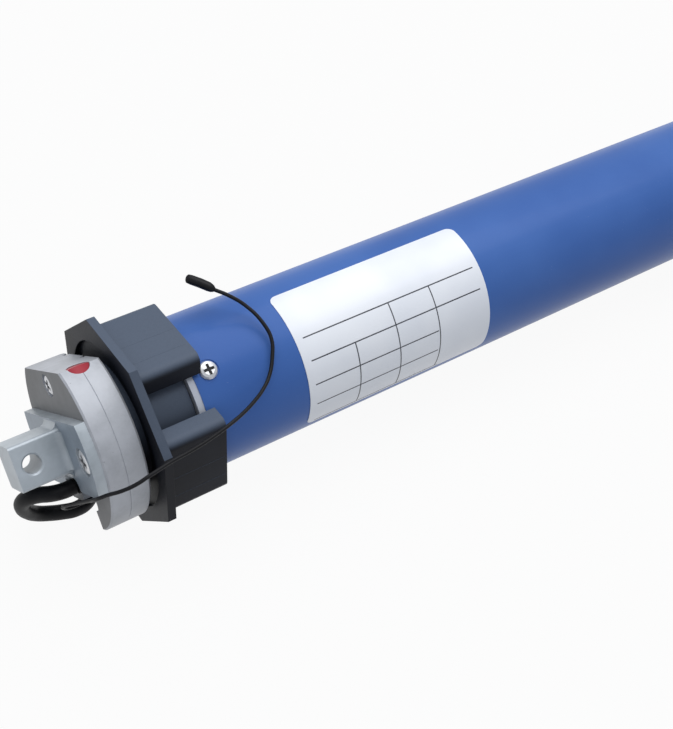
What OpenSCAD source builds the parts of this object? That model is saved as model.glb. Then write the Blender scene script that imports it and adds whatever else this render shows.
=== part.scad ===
// Tubular roller blind motor with a round head, square pin bracket,
// octagonal crown and drive wheel, and the motor inside the tube.
// X runs along the motor, from the pin end to the drive wheel end.

/* [Tube] */
// Outer diameter of the motor tube
tube_d = 55; // [54:0.5:60]
// Wall of the motor tube
tube_wall = 1.5; // [1:0.1:1.7]
// Length of the motor tube
tube_l = 530; // [526:1:580]
// Gap between the tube's bore and what sits in it
tube_fit = 0.15; // [0.05:0.01:0.2]

/* [Head] */
// Diameter of the round head
disc_d = 64.4; // [62.4:0.1:65]
// Offset of the round head from the axis, away from the button
head_y = 2; // [0:0.1:2.4]
// Thickness of the head's front cover
cover_t = 6.9; // [6.5:0.1:8]
// Thickness of the head's cast body behind the cover
body_t = 7.4; // [7:0.1:9]
// Distance of the head's flat from the axis
flat_n = 25.6; // [25.2:0.1:28]
// Distance of the foot relief under the head from the axis
foot_n = 29.4; // [28.6:0.1:29.6]
// Turn of the head's flat and pin about the axis
roll = 54; // [53:1:56]
// Diameter of the neck that carries the crown
neck_d = 36; // [35:0.1:37]
// Length of the neck behind the head
neck_l = 13.5; // [13:0.1:14]
// Diameter of the cable bore through neck and housing
core_bore = 14; // [11:0.5:15]
// Depth of the cable pocket in the cover's face
pocket_t = 3; // [2:0.1:3.2]
// Width of the cable pocket and of the plate's notch
notch_w = 14; // [12:0.5:15]

/* [Setting button] */
// Diameter of the round button
button_d = 7.4; // [6.5:0.1:8]
// Distance of the button from the vertical plane through the axis
button_y = 1; // [0.5:0.1:1.6]
// Gap between the button and its mouth
button_gap = 0.1; // [0.08:0.01:0.2]
// Travel of the button
button_travel = 1.2; // [0.6:0.1:1.3]
// Distance of the button from the parting line, towards the pin
button_off = 0.1; // [0:0.1:0.5]

/* [Pin bracket] */
// Diameter of the bracket's plate
plate_d = 61.2; // [60.4:0.1:62]
// Thickness of the plate
plate_t = 3.5; // [3:0.1:5]
// Distance of the plate's top edge from the axis
plate_top = 10.3; // [9:0.1:12]
// Distance of the plate's bottom edge from the axis
plate_low = 15; // [13:0.1:17]
// Width of the square pin
pin_w = 15.6; // [13:0.1:16]
// Length of the pin from the plate's front
pin_l = 17.3; // [16:0.1:24]
// Diameter of the cross hole
hole_d = 6.3; // [5:0.1:8]
// Distance of the cross hole from the plate's front
hole_x = 11.5; // [10:0.1:12]
// Distance of the bracket screws from the middle plane
screw_t = 22.7; // [22:0.1:23.5]
// Distance of the bracket screws below the axis
screw_n = 2.6; // [0:0.1:4]
// Distance of the cover screw above the axis
cover_screw_n = 20.5; // [20.2:0.1:21]

/* [Crown] */
// Width across the flats of the crown's octagon
crown_af = 71.1; // [69:0.1:80]
// Thickness of the octagonal flange
flange_t = 3; // [2.5:0.1:5]
// Gap between the head and the flange
crown_gap = 2.5; // [2:0.1:3]
// Length from the flange's front to the tube's end
crown_l = 22; // [21.5:0.1:23]
// Reach of the fingers over the tube
crown_lap = 2.5; // [0:0.1:2.5]
// Width of the fingers
finger_w = 32; // [24:0.5:33]
// Wall of the fingers over the tube
finger_wall = 3.1; // [2:0.1:4]
// Gap between the tube and the fingers
finger_gap = 1.4; // [1.3:0.1:2]
// Diameter of the crown's hub
hub_d = 50.8; // [50:0.1:52]
// Radial gap of the crown on the neck
hub_fit = 0.05; // [0.03:0.01:0.1]
// Width of the crown's inner teeth
crown_gear_w = 7; // [5:0.1:7]

/* [Fasteners] */
// Thread diameter of the head's screws
m_head = 5; // [4:0.1:5.2]
// Thread diameter of the tube and neck screws
m_tube = 4; // [3:0.1:4.2]
// Distance of the front tube screws from the tube's end
tube_screw_x = 5.9; // [5.9:0.1:8]
// Turn of the first front tube screw about the axis
tube_screw_a = 122.7; // [115:0.1:128]
// Distance of the rear tube screws from the tube's end
rear_screw_x = 12; // [9:0.5:14]
// Diameter of the tube screws' heads
tube_head_d = 6.4; // [6:0.1:6.4]
// Clearance round screws in their holes
bolt_gap = 0.05; // [0.03:0.01:0.2]

/* [Rating label] */
// Distance of the label from the tube's front end
label_x = 38.4; // [12:0.1:120]
// Length of the label
label_l = 80.3; // [50:0.1:120]
// Angle that the label covers round the tube
label_arc = 115; // [60:1:150]
// Thickness of the label
label_t = 0.15; // [0.1:0.01:0.3]
// Radius of the label's corners
label_round = 3; // [2:0.1:4]

/* [Limit switch and electronics] */
// Length of the limit housing in the tube
limit_l = 58; // [50:1:70]
// Width of the limit housing's shoulder outside the tube
collar_t = 2.3; // [1.8:0.1:2.5]
// Module of the crown's inner teeth
limit_m = 0.85; // [0.8:0.01:0.86]
// Share of the electronics' length that the receiver board takes
board_share = 0.613; // [0.5:0.001:0.7]
// Width of the receiver board
board_w = 44; // [36:0.5:45]
// Diameter of the run capacitor
cap_d = 36; // [25:0.5:37]

/* [Motor] */
// Length of the stator core
stator_l = 90; // [70:1:92]
// Radius of the stator's bore
stator_bore = 13.4; // [13.3:0.1:14]
// Air gap between rotor and stator
air_gap = 0.3; // [0.2:0.05:0.5]
// Room for the windings' ends on each side
turn_room = 20; // [19:1:21]
// Thickness of the end shields
shield_t = 12; // [11:0.5:13]
// Diameter of the rotor shaft
shaft_d = 8; // [7:0.1:8]
// Outer diameter of the rotor's ball bearings
ball_d = 22; // [20:0.5:24]
// Width of the rotor's ball bearings
ball_w = 7; // [5:0.5:8]
// Radial gap at shafts and bearing seats
run_fit = 0.05; // [0.03:0.01:0.08]
// Room for the brake
brake_room = 26; // [25.5:0.5:28]
// Travel of the brake armature
brake_travel = 0.8; // [0.4:0.1:1]

/* [Gearbox] */
// Module of the first planetary stage
m_1 = 0.75; // [0.7:0.01:0.77]
// Module of the second planetary stage
m_2 = 0.95; // [0.9:0.01:0.97]
// Module of the third planetary stage
m_3 = 1.1; // [1.05:0.01:1.12]
// Width of the first stage's planets
w_1 = 14; // [10:0.5:16]
// Width of the second stage's planets
w_2 = 16; // [12:0.5:18]
// Width of the third stage's planets
w_3 = 20; // [16:0.5:21]
// Diameter of the first stage's planet pins
pin_1 = 5; // [4:0.1:6]
// Diameter of the second stage's planet pins
pin_2 = 6; // [5:0.1:7]
// Diameter of the third stage's planet pins
pin_3 = 7; // [6:0.1:8]
// Thinning of each gear's teeth
tooth_gap = 0.1; // [0.08:0.01:0.14]

/* [Output] */
// Length of the output housing in the tube
out_l = 51.5; // [49:0.5:56]
// Diameter of the output shaft
out_d = 20; // [19:0.1:20]
// Outer diameter of the output bearings
out_ball_d = 42; // [40:0.5:42.5]
// Width of the output bearings
out_ball_w = 12; // [10:0.5:13]
// Shoulder of the output housing behind the tube
out_flange_t = 3; // [2:0.1:3.5]
// Diameter of the shaft's end in the drive wheel
drive_d = 17; // [15:0.1:18]
// Width across the shaft end's two flats
drive_af = 14; // [12:0.1:14.5]
// Gap between the shaft end and the wheel's bore
drive_fit = 0.05; // [0.03:0.01:0.1]
// Width across the flats of the drive wheel
wheel_af = 67.6; // [64:0.1:69]
// Width of the drive wheel
wheel_w = 30; // [22:0.5:36]
// Rim thickness of the drive wheel
wheel_rim = 4; // [3:0.1:6]
// Gap between the tube's shoulder and the drive wheel
wheel_gap = 3; // [1:0.5:6]

/* [Cords] */
// Diameter of the mains cable
cable_d = 5.5; // [5:0.1:5.5]
// Diameter of the antenna wire
wire_d = 1.3; // [1:0.1:1.4]
// Diameter of the sleeve on the antenna's end
sleeve_d = 3.3; // [2:0.1:4]
// Step from loop to loop of the hank
hank_step = 6.9; // [6.7:0.1:8]
// Step from layer to layer of the hank
hank_lift = 6.2; // [6.1:0.1:7]

/* [Hidden] */
$fn = 96;
// Small overshoot of cuts
e = 1;

// Radii that follow from the tube
tube_r = tube_d / 2;
body_r = tube_r - tube_wall - tube_fit;
collar_r = tube_r - 0.3;
seat_gap = 0.05;

// Head, from the tube's front end towards the pin
disc_r = disc_d / 2;
neck_r = neck_d / 2;
bore_r = core_bore / 2;
x_crown0 = -crown_l;
x_flange1 = x_crown0 + flange_t;
x_disc1 = x_crown0 - crown_gap;
x_part = x_disc1 - body_t;
x_disc0 = x_part - cover_t;
x_plate0 = x_disc0 - plate_t;
x_pin0 = x_plate0 - pin_l;
x_neck1 = x_disc1 + neck_l;
x_hub0 = x_disc1 + 0.5;
x_hub1 = -collar_t - 0.5;
x_tooth1 = x_hub1 - 0.7;
x_tooth0 = x_tooth1 - crown_gear_w;
room_r = 17;
room_t = 4.4;
wall_back = 1.6;
x_room0 = x_part - wall_back;
x_pocket = x_disc0 + pocket_t;
head_drop = 0.8;
plate_off = 1.1;
// Cut under the head that lets the cable pass
slot_n = 22.2;
slot_t = 3.3;
pocket_top = 10.4;
pocket_low = 24;
foot_r = min(2.2, plate_top - pin_w / 2 - 0.1);
// The head's screws
head_bolt = 14;
cover_bolt = 9;
bolt_head_d = 1.9 * m_head;
bolt_head_t = 0.48 * m_head;
cover_head_d = 1.9 * m_tube;
cover_head_t = 0.48 * m_tube;
sink_gap = 0.2;
// Sink of the tube screws in the tube's wall
dent_t = 0.4;
dent_gap = 0.6;

// Setting button in the rim, pressed straight down
button_r = button_d / 2;
button_top = 30.7;
dish_r = 7;
button_step = 24.2;
button_flange = 1.2;
switch_top = 17.2;
switch_low = 12.2;
x_button = x_part - button_off;
button_low = button_step - button_flange;

// Crown
hub_r = hub_d / 2;
finger_r = tube_r + finger_gap;
finger_n = finger_r + finger_wall;
finger_low = hub_r - 1;
finger_round = 3;
crown_z = 48;
pinion_z = 12;
limit_a = limit_m * (crown_z - pinion_z) / 2;
limit_pin_r = 1.5;
stub_r = limit_a;
magnet_r = 4;
magnet_t = 2.5;
// Limit housing
web_l = 12;
x_board = 20;
house_r = body_r - 2.4;
neck_bolt_r = 12;
neck_bolt_l = 25;
x_neck_bolt = 4;

// Lengths of the gearbox, and what they leave for the electronics
web_t = 3;
plate_1 = 4;
plate_2 = 5;
plate_3 = 6;
stage_gap = 2;
side_gap = 1;
housing_gap = 3;
tray_gap = 0.5;
motor_chain = tray_gap + 2 * shield_t + 2 * turn_room + stator_l + brake_room;
gear_chain = web_t + w_1 + w_2 + w_3 + plate_1 + plate_2 + plate_3 + 5 * stage_gap + 3 * side_gap;
tray_l = tube_l - out_l - housing_gap - gear_chain - motor_chain - limit_l;
// Walls and gaps of the tray that hold board and capacitor
board_x = 4;
tray_wall = 3;
wall_x = 6;
cap_x = 2;
cap_end = 5;
part_l = tray_l - wall_x - tray_wall - cap_x - cap_end - tray_wall;
board_l = board_share * part_l;
cap_l = part_l - board_l;

// Electronics and motor along the tube
x_tray0 = limit_l;
x_tray1 = x_tray0 + tray_l;
x_fs0 = x_tray1 + tray_gap;
x_fs1 = x_fs0 + shield_t;
x_st0 = x_fs1 + turn_room;
x_st1 = x_st0 + stator_l;
x_rs0 = x_st1 + turn_room;
x_rs1 = x_rs0 + shield_t;
x_rg1 = x_rs1 + brake_room;
tray_in = body_r - 1.6;
ledge_z = -5;
ledge_t = 2;
board_t = 1.6;
ball_r = ball_d / 2;
shaft_r = shaft_d / 2;
rotor_r = stator_bore - air_gap;
slots = 12;
slot_in = stator_bore + 2.1;
slot_out = 22.3;
slot_w = 4.8;
coil_gap = 0.1;
x_ball1 = x_fs0 + 3;
x_ball2 = x_rs1 - 3 - ball_w;
// Brake
collar_w = 2;
x_collar = x_rs1 + 1;
lining_t = 2.95;
armature_t = 8;
armature_r = 20;
hex_af = 12;
hex_fit = 0.1;
x_arm1 = x_rg1 - lining_t - 0.05;
x_arm0 = x_arm1 - armature_t;
spring_wire = 1.4;
spring_r = 8.5;

// Gear teeth, as numbers of teeth and pressure angle
pa = 25;
z_sun = 12;
z_p1 = 24;
z_p2 = 18;
z_p3 = 15;
z_r1 = 60;
z_r2 = 48;
z_r3 = 42;
a_1 = m_1 * (z_sun + z_p1) / 2;
a_2 = m_2 * (z_sun + z_p2) / 2;
a_3 = m_3 * (z_sun + z_p3) / 2;
carrier_r = 19.5;
x_p1 = x_rg1 + web_t + stage_gap;
x_c1 = x_p1 + w_1 + side_gap;
x_rg2 = x_c1 + plate_1 + stage_gap;
x_p2 = x_rg2 + stage_gap;
x_c2 = x_p2 + w_2 + side_gap;
x_rg3 = x_c2 + plate_2 + stage_gap;
x_p3 = x_rg3 + stage_gap;
x_c3 = x_p3 + w_3 + side_gap;
x_oh0 = x_c3 + plate_3 + housing_gap;
// Output end
out_r = out_d / 2;
out_seat = out_ball_d / 2 + seat_gap;
shoulder_r = 13;
x_ob1 = x_oh0 + 4;
x_ob2 = tube_l - 4 - out_ball_w;
x_ring = x_ob2 + out_ball_w + 0.1;
ring_t = 1.2;
groove_r = out_r - 0.7;
x_seal = x_ring + ring_t + 0.4;
x_flange_end = tube_l + out_flange_t;
x_wheel = x_flange_end + wheel_gap;
x_wheel1 = x_wheel + wheel_w;
washer_t = 1.6;
washer_d = 22;
end_bolt = 6;
end_head_t = 4;
x_end = x_wheel1 + washer_t + end_head_t;

// Frame: middle of the length, axis above the surface that the crown stands on
x_mid = (x_pin0 + x_end) / 2;
axis_h = crown_af / 2;
floor_z = -axis_h;

// Cable exit under the pin, in the head's turned directions
gland_n = -13.96;
wire_n = -20.3;
gland_r = 4.6;
gland_mouth = 3.15;
gland_flange_r = gland_r + 1.2;
gland_flange_t = wall_back - 0.1;
gland_bore = cable_d / 2 + 0.05;
gland_nose = 2.5;
x_gland0 = x_disc0 - gland_nose;

module placed() {
    translate([-x_mid, 0, axis_h]) children();
}

module along(x) {
    translate([x, 0, 0]) rotate([90, 0, 90]) children();
}

module rod(x0, x1, r) {
    along(x0) cylinder(h = x1 - x0, r = r);
}

module pipe(x0, x1, ro, ri) {
    difference() {
        rod(x0, x1, ro);
        rod(x0 - e, x1 + e, ri);
    }
}

// Axial rod at radius a and angle t
module side_rod(x0, x1, a, t, r) {
    along(x0) rotate([0, 0, t]) translate([a, 0, 0]) cylinder(h = x1 - x0, r = r);
}

// Round bar from radius r0 to r1 at angle t
module spoke(x, t, r0, r1, r) {
    along(x) rotate([0, 0, t]) translate([r0, 0, 0]) rotate([0, 90, 0]) cylinder(h = r1 - r0, r = r);
}

// Places children at n and t of the turned head
module head_at(x, n, t) {
    along(x) rotate([0, 0, roll]) translate([n, t, 0]) children();
}

module rounded(w, h, r) {
    square([w, h - 2 * r], center = true);
    square([w - 2 * r, h], center = true);
    for (i = [-1, 1], j = [-1, 1]) translate([i * (w / 2 - r), j * (h / 2 - r)]) circle(r = r);
}

module octagon(af, h) {
    rotate([0, 0, 22.5]) cylinder(h = h, r = af / 2 / cos(22.5), $fn = 8);
}

// Screw with a domed head above its seat and the shank below it
module screw(d, l, hd, hh) {
    slot = 0.16 * hd;
    difference() {
        union() {
            cylinder(h = l, r = d / 2);
            rotate_extrude() polygon([[0, -hh], [hd * 0.3, -hh], [hd * 0.43, -hh * 0.78],
                [hd / 2, -hh * 0.3], [hd / 2, 0], [0, 0]]);
        }
        for (a = [0, 90]) rotate([0, 0, a]) translate([-hd * 0.3, -slot / 2, -hh - e])
            cube([hd * 0.6, slot, hh * 0.6 + e]);
    }
}

// Involute outlines
function turn_rad(a) = a * PI / 180;
function inv(a) = tan(a) - turn_rad(a);
function half_angle(m, z, r, thin) = let (rp = m * z / 2)
    90 / z - (thin / 2 / rp - inv(pa) + inv(acos(min(1, rp * cos(pa) / r)))) / PI * 180;
function flank(m, z, lo, hi, thin) = let (rb = m * z / 2 * cos(pa), base = max(lo, rb + 0.001))
    concat(lo < rb ? [[lo, half_angle(m, z, base, thin)]] : [],
        [for (k = [0 : 2]) let (r = base + (hi - base) * k / 2) [r, half_angle(m, z, r, thin)]]);
function outline(m, z, lo, hi, thin) = let (f = flank(m, z, lo, hi, thin), n = len(f))
    [for (i = [0 : z - 1], k = [0 : 2 * n - 1])
        let (p = k < n ? f[k] : f[2 * n - 1 - k], a = 360 * i / z + (k < n ? -p[1] : p[1]))
        p[0] * [cos(a), sin(a)]];

module gear_shape(m, z, turn) {
    rp = m * z / 2;
    rotate([0, 0, turn]) polygon(outline(m, z, rp - 1.05 * m, rp + 0.8 * m, tooth_gap));
}

module ring_shape(m, z, turn) {
    rp = m * z / 2;
    rotate([0, 0, turn]) polygon(outline(m, z, rp - 0.8 * m, rp + 1.05 * m, -tooth_gap));
}

// Tubes that follow a line of points
function unit(v) = v / norm(v);
function heading(p, i) = unit(p[min(i + 1, len(p) - 1)] - p[max(i - 1, 0)]);
function sides_of(p, i, n) = i >= len(p) ? [] :
    let (t = heading(p, i), m = unit(n - (n * t) * t)) concat([m], sides_of(p, i + 1, m));

module sweep(p, r, sides) {
    n0 = abs(heading(p, 0)[2]) > 0.9 ? [0, 1, 0] : [0, 0, 1];
    m = sides_of(p, 0, n0);
    rings = [for (i = [0 : len(p) - 1]) let (b = cross(heading(p, i), m[i]))
        for (k = [0 : sides - 1]) let (a = 360 * (k + 0.5) / sides)
            p[i] + r * (cos(a) * m[i] + sin(a) * b)];
    last = (len(p) - 1) * sides;
    faces = concat([[for (k = [0 : sides - 1]) k]],
        [for (i = [0 : len(p) - 2], k = [0 : sides - 1]) let (a = i * sides, j = (k + 1) % sides)
            [a + k, a + sides + k, a + sides + j]],
        [for (i = [0 : len(p) - 2], k = [0 : sides - 1]) let (a = i * sides, j = (k + 1) % sides)
            [a + k, a + sides + j, a + j]],
        [[for (k = [sides - 1 : -1 : 0]) last + k]]);
    polyhedron(rings, faces, convexity = 10);
}

module coil_spring(r, wire, l, turns) {
    rise = l - wire;
    sweep([for (i = [0 : 8 * turns]) [r * cos(45 * i), r * sin(45 * i), wire / 2 + rise * i / 8 / turns]],
        wire / 2, 6);
}

// Mains cable from inside the gland to the hank, in tube coordinates
cable_points = [[-42, -8.2, -11.3], [-46.3, -8.1, -11.3], [-50.1, -6.9, -11.5], [-52.9, -4.9, -12.2],
    [-55.7, -2.8, -13.8], [-57.5, -0.5, -17.2], [-57.5, 1.1, -21.5], [-55.6, 2.6, -26.5],
    [-52.3, 3.5, -30.6], [-48.2, 2.9, -32.5], [-44, 1.3, -32.8], [-39.9, 0.1, -32.8], [-35.6, 0.8, -32.8],
    [-32, 4, -32.8], [-29.4, 8.8, -32.8], [-27.6, 14, -32.8], [-26.5, 20, -32.8], [-25, 27, -32.8], [-21, 33, -32.8], [-13, 36.6, -32.8],
    [-2, 37, -32.8], [10, 34, -32.8], [22, 29, -32.8], [36, 24.5, -32.8], [52, 22.5, -32.8],
    [68, 22, -32.8], [84, 22, -32.8], [100, 22, -32.8], [116, 22.5, -32.8], [132, 23, -32.8],
    [148, 23.5, -32.8], [164, 24, -32.8], [180, 23.5, -32.8], [196, 23, -32.8], [212, 22.5, -32.8],
    [228, 22, -32.8], [244, 21.5, -32.8], [260, 21, -32.8], [276, 21, -32.8], [290, 21, -32.8],
    [302, 21, -32.8], [316, 21, -32.8], [332, 21, -32.8], [346, 21, -32.8], [360, 21, -32.8]];

// Antenna wire from the cable pocket, over the tube to its sleeve
wire_points = [[-34, -11.9, -16.4], [-39, -11.9, -16.4], [-43, -11.9, -16.4], [-46.3, -12, -15.8],
    [-48.4, -12.8, -13.8], [-48.6, -14.4, -11.2], [-47.8, -16.5, -8.9], [-46.4, -19, -6.6],
    [-45, -22.4, -3.3], [-43.9, -26, 0.2], [-43.1, -30.7, 5.3], [-40.6, -32.9, 7.7],
    [-37.3, -35.2, 9.6], [-32.9, -36.8, 11.5], [-28.1, -37.3, 13.4],
    [-20.2, -36.8, 14.7], [-12.3, -36.4, 15.3], [-4.5, -35.6, 16.1], [2.6, -34.6, 17.3], [8.3, -32.8, 17.5],
    [13.8, -30.4, 17.7], [19.1, -27.3, 17.8], [23.9, -23.7, 19], [27.7, -19.4, 22.2],
    [30, -15.1, 25.8], [29.7, -10.1, 29.3], [27.3, -3.2, 32.7], [23.5, 1.3, 35.5], [19.8, 5.1, 37.1]];
wire_end = wire_points[len(wire_points) - 1];

// Bare cores at the cable's far end, from the end of the hank
core_offset = 1.35;
core_d = 2.1;

// Hank: two loops in, a climb along the near run and two loops out
hank_x = 416;
hank_y = 52;
hank_half = 50;
hank_in = 17.2;
hank_draw = 13.9;
tie_lift = 1.4;
hank_r0 = hank_in + 2 * hank_step;
climb = 5 / 24;
function hank_r(u) = u <= 2 ? hank_r0 - hank_step * u :
    u <= 2 + climb ? hank_in : hank_in + hank_step * (u - 2 - climb);
function hank_z(u) = hank_lift * (u <= 2 ? 0 : u >= 2 + climb ? 1 : (u - 2) / climb);
function waist(x) = abs(x) >= hank_half ? 0 : (1 + cos(180 * x / hank_half)) / 2;
function on_run(x, side, r, z) = [x, side * (r - hank_draw * waist(x)), z + tie_lift * waist(x)];
function on_bend(x, a, r, z) = [x + r * cos(a), r * sin(a), z];
function hank_point(u) = let (j = (u - floor(u + 0.00001)) * 24, r = hank_r(u), z = hank_z(u))
    j < 5 ? on_run(20 * j - hank_half, -1, r, z) :
    j < 12 ? on_bend(hank_half, (j - 5) * 180 / 7 - 90, r, z) :
    j < 17 ? on_run(hank_half - 20 * (j - 12), 1, r, z) :
    on_bend(-hank_half, (j - 17) * 180 / 7 + 90, r, z);
hank_turns = 4.5;
hank_o = [hank_x, hank_y, floor_z + cable_d / 2];
hank_points = concat([hank_o + [-hank_half - 6, -hank_r0, 0]],
    [for (i = [0 : 24 * hank_turns]) hank_o + hank_point(i / 24)],
    [hank_o + [hank_half - 6, hank_r(hank_turns), hank_lift]]);
hank_end = hank_points[len(hank_points) - 1];

// Least gap of the hank to itself, measured on points half a ring apart
fine = [for (i = [0 : 48 * hank_turns]) hank_point(i / 48)];
hank_gap = min([for (i = [0 : len(fine) - 9], j = [i + 8 : len(fine) - 1]) norm(fine[i] - fine[j])]) - cable_d;
echo(hank_least_gap = hank_gap);

// Cord lengths, for the description of the part
function span(p) = len(p) < 2 ? 0 : [for (i = [1 : len(p) - 1]) norm(p[i] - p[i - 1])] * [for (i = [1 : len(p) - 1]) 1];
echo(cable_length = span(cable_points), hank_length = span(hank_points), wire_length = span(wire_points));

module motor_tube() color("#1f5fc4") placed() difference() {
    pipe(0, tube_l, tube_r, tube_r - tube_wall);
    for (k = [0 : 2]) {
        spoke(tube_screw_x, tube_screw_a + 120 * k, tube_r - 5, tube_r + e, m_tube / 2 + bolt_gap);
        spoke(tube_screw_x, tube_screw_a + 120 * k, tube_r - dent_t, tube_r + e, tube_head_d / 2 + dent_gap);
    }
    for (k = [0 : 3]) {
        spoke(tube_l - rear_screw_x, 45 + 90 * k, tube_r - 5, tube_r + e, m_tube / 2 + bolt_gap);
        spoke(tube_l - rear_screw_x, 45 + 90 * k, tube_r - dent_t, tube_r + e, tube_head_d / 2 + dent_gap);
    }
}

module rating_label() color("#d9dde0") placed() difference() {
    along(label_x) rotate([0, 0, 88]) rotate_extrude(angle = label_arc)
        translate([tube_r + seat_gap, 0]) square([label_t, label_l]);
    // Corners rounded in three steps
    for (a = [0, 1], b = [0, 1], t = [22.5, 45, 67.5])
        along(label_x + b * label_l) rotate([0, 0, 88 + a * label_arc]) translate([tube_r - 2, 0, 0])
            rotate([0, 90, 0]) mirror([1 - b, 0, 0]) mirror([0, a, 0])
                translate([label_round, label_round, 0]) rotate([0, 0, 180 + t])
                    translate([label_round, -4, -e]) cube([4, 8, 6]);
}

module tube_screws() color("silver") placed() {
    for (k = [0 : 2]) along(tube_screw_x) rotate([0, 0, tube_screw_a + 120 * k])
        translate([tube_r - dent_t, 0, 0]) rotate([0, -90, 0]) screw(m_tube, 7, tube_head_d, 1.5);
    for (k = [0 : 3]) along(tube_l - rear_screw_x) rotate([0, 0, 45 + 90 * k])
        translate([tube_r - dent_t, 0, 0]) rotate([0, -90, 0]) screw(m_tube, 5, tube_head_d, 1.5);
}

// Flats that the cover and the body share
module head_flats(x0, x1) {
    along(x0 - e) rotate([0, 0, roll]) translate([flat_n, -40, 0]) cube([20, 80, x1 - x0 + 2 * e]);
    along(x0 - e) translate([-40, -foot_n - 20, 0]) cube([80, 20, x1 - x0 + 2 * e]);
    head_at(x0 - e, -slot_n - 20, slot_t - 60) cube([20, 60, x1 - x0 + 2 * e]);
}

// Places children in the middle of the round head
module head_round(x) {
    along(x) translate([head_y, -head_drop, 0]) children();
}

// Upright rod at the button
module button_rod(z0, z1, r) {
    translate([x_button, button_y, z0]) cylinder(h = z1 - z0, r = r);
}

// Room of the button, its spring and its switch
module button_room() {
    button_rod(button_step, disc_r + e, button_r + button_gap);
    button_rod(switch_low, button_step + button_gap, button_r + 1.2);
}

module head_bolt_holes() {
    for (s = [-1, 1]) head_at(x_disc0 - e, -screw_n, s * screw_t)
        cylinder(h = head_bolt + bolt_head_t - plate_t + e + 0.3, r = m_head / 2 + bolt_gap);
    head_at(x_disc0 - e, cover_screw_n, 0)
        cylinder(h = cover_bolt + cover_head_t + e + 0.3, r = m_tube / 2 + bolt_gap);
    head_at(x_disc0 - e, cover_screw_n, 0) cylinder(h = cover_head_t + e, r = cover_head_d / 2 + sink_gap);
}

module head_body() color("silver") placed() difference() {
    union() {
        head_round(x_part) rotate_extrude() polygon([[0, 0], [disc_r - 0.15, 0], [disc_r, 0.15],
            [disc_r, body_t - 0.8], [disc_r - 0.8, body_t], [0, body_t]]);
        rod(x_disc1 - e, x_neck1, neck_r);
    }
    head_flats(x_part, x_disc1);
    rod(x_part - e, x_part + room_t, room_r);
    rod(x_part, x_neck1 + e, bore_r);
    button_room();
    head_bolt_holes();
    for (k = [0 : 2]) side_rod(x_neck1 - 10.4, x_neck1 + e, neck_bolt_r, roll + 60 + 120 * k, m_tube / 2 + bolt_gap);
    for (t = [-16.5, 1.9]) head_at(x_disc1 - 1.6, flat_n - 1.2, t - 1.7) cube([3, 3.4, 3]);
}

module head_cover() color("dimgray") placed() difference() {
    head_round(x_disc0) rotate_extrude() polygon([[0, 0], [disc_r - 0.6, 0], [disc_r, 0.6],
        [disc_r, cover_t - 0.15], [disc_r - 0.15, cover_t], [0, cover_t]]);
    head_flats(x_disc0, x_part);
    rod(x_room0, x_part + e, room_r);
    button_room();
    head_bolt_holes();
    head_at(x_disc0 - e, -(pocket_top + pocket_low) / 2, 0) linear_extrude(pocket_t + e)
        rounded(pocket_low - pocket_top, notch_w, 3);
    head_at(x_disc0, gland_n, 0) cylinder(h = cover_t, r = gland_r + seat_gap);
    head_at(x_room0, gland_n, 0) cylinder(h = cover_t, r = gland_flange_r + seat_gap);
    head_at(x_disc0, wire_n, 0) cylinder(h = cover_t + e, r = wire_d / 2 + 0.2);
}

module pin_bracket() color("gainsboro") placed() difference() {
    union() {
        head_at(x_plate0, 0, 0) linear_extrude(plate_t) difference() {
            intersection() {
                translate([0, -plate_off]) circle(r = plate_d / 2);
                translate([-plate_low, -40]) square([plate_low + plate_top, 80]);
            }
            translate([-(pocket_top + pocket_low) / 2, 0]) rounded(pocket_low - pocket_top, notch_w, 3);
            for (s = [-1, 1]) translate([-plate_low - 0.01, s * (notch_w / 2 + 1.49)]) difference() {
                translate([0, -s * 0.75]) square([3, 1.51], center = true);
                translate([1.5, 0]) circle(r = 1.5);
            }
        }
        head_at(x_pin0, 0, 0) linear_extrude(pin_l + 0.5) rounded(pin_w, pin_w, 1.2);
        // Fillets at the foot of the pin
        for (a = [0 : 90 : 270]) along(x_plate0) rotate([0, 0, roll + a]) translate([pin_w / 2, 0, 0])
            difference() {
                translate([-e, 1.2 - pin_w / 2, -foot_r]) cube([foot_r + e, pin_w - 2.4, foot_r + e]);
                translate([foot_r, pin_w / 2, -foot_r]) rotate([90, 0, 0]) cylinder(h = pin_w, r = foot_r);
            }
    }
    for (s = [-1, 1]) head_at(x_plate0 - e, -screw_n, s * screw_t) {
        cylinder(h = plate_t + 2 * e, r = m_head / 2 + 0.1);
        cylinder(h = bolt_head_t + e, r = bolt_head_d / 2 + sink_gap);
    }
    head_at(x_plate0 - hole_x, 0, -20) rotate([-90, 0, 0]) cylinder(h = 40, r = hole_d / 2);
    for (s = [-1, 1]) head_at(x_plate0 - hole_x, 0, s * (pin_w / 2 - 0.6)) rotate([-90 * s, 0, 0])
        cylinder(h = 0.7, r1 = hole_d / 2, r2 = hole_d / 2 + 0.7);
}

module bracket_screws() color("silver") placed() {
    for (s = [-1, 1]) head_at(x_plate0 + bolt_head_t, -screw_n, s * screw_t) rotate([0, 0, 20 * s])
        screw(m_head, head_bolt, bolt_head_d, bolt_head_t);
}

module cover_screw() color("silver") placed() {
    head_at(x_disc0 + cover_head_t, cover_screw_n, 0) rotate([0, 0, 35])
        screw(m_tube, cover_bolt, cover_head_d, cover_head_t);
}

module cable_gland() color("black") placed() {
    l1 = x_pocket - x_gland0;
    l2 = x_room0 - x_gland0;
    head_at(x_gland0, gland_n, 0) rotate_extrude() polygon([[gland_bore, 0], [gland_mouth, 0],
        [gland_mouth, gland_nose], [gland_r, l1], [gland_r, l2], [gland_flange_r, l2], [gland_flange_r, l2 + gland_flange_t],
        [gland_bore, l2 + gland_flange_t]]);
}

module mains_cable() color("#202020") placed() sweep(cable_points, cable_d / 2, 10);

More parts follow.
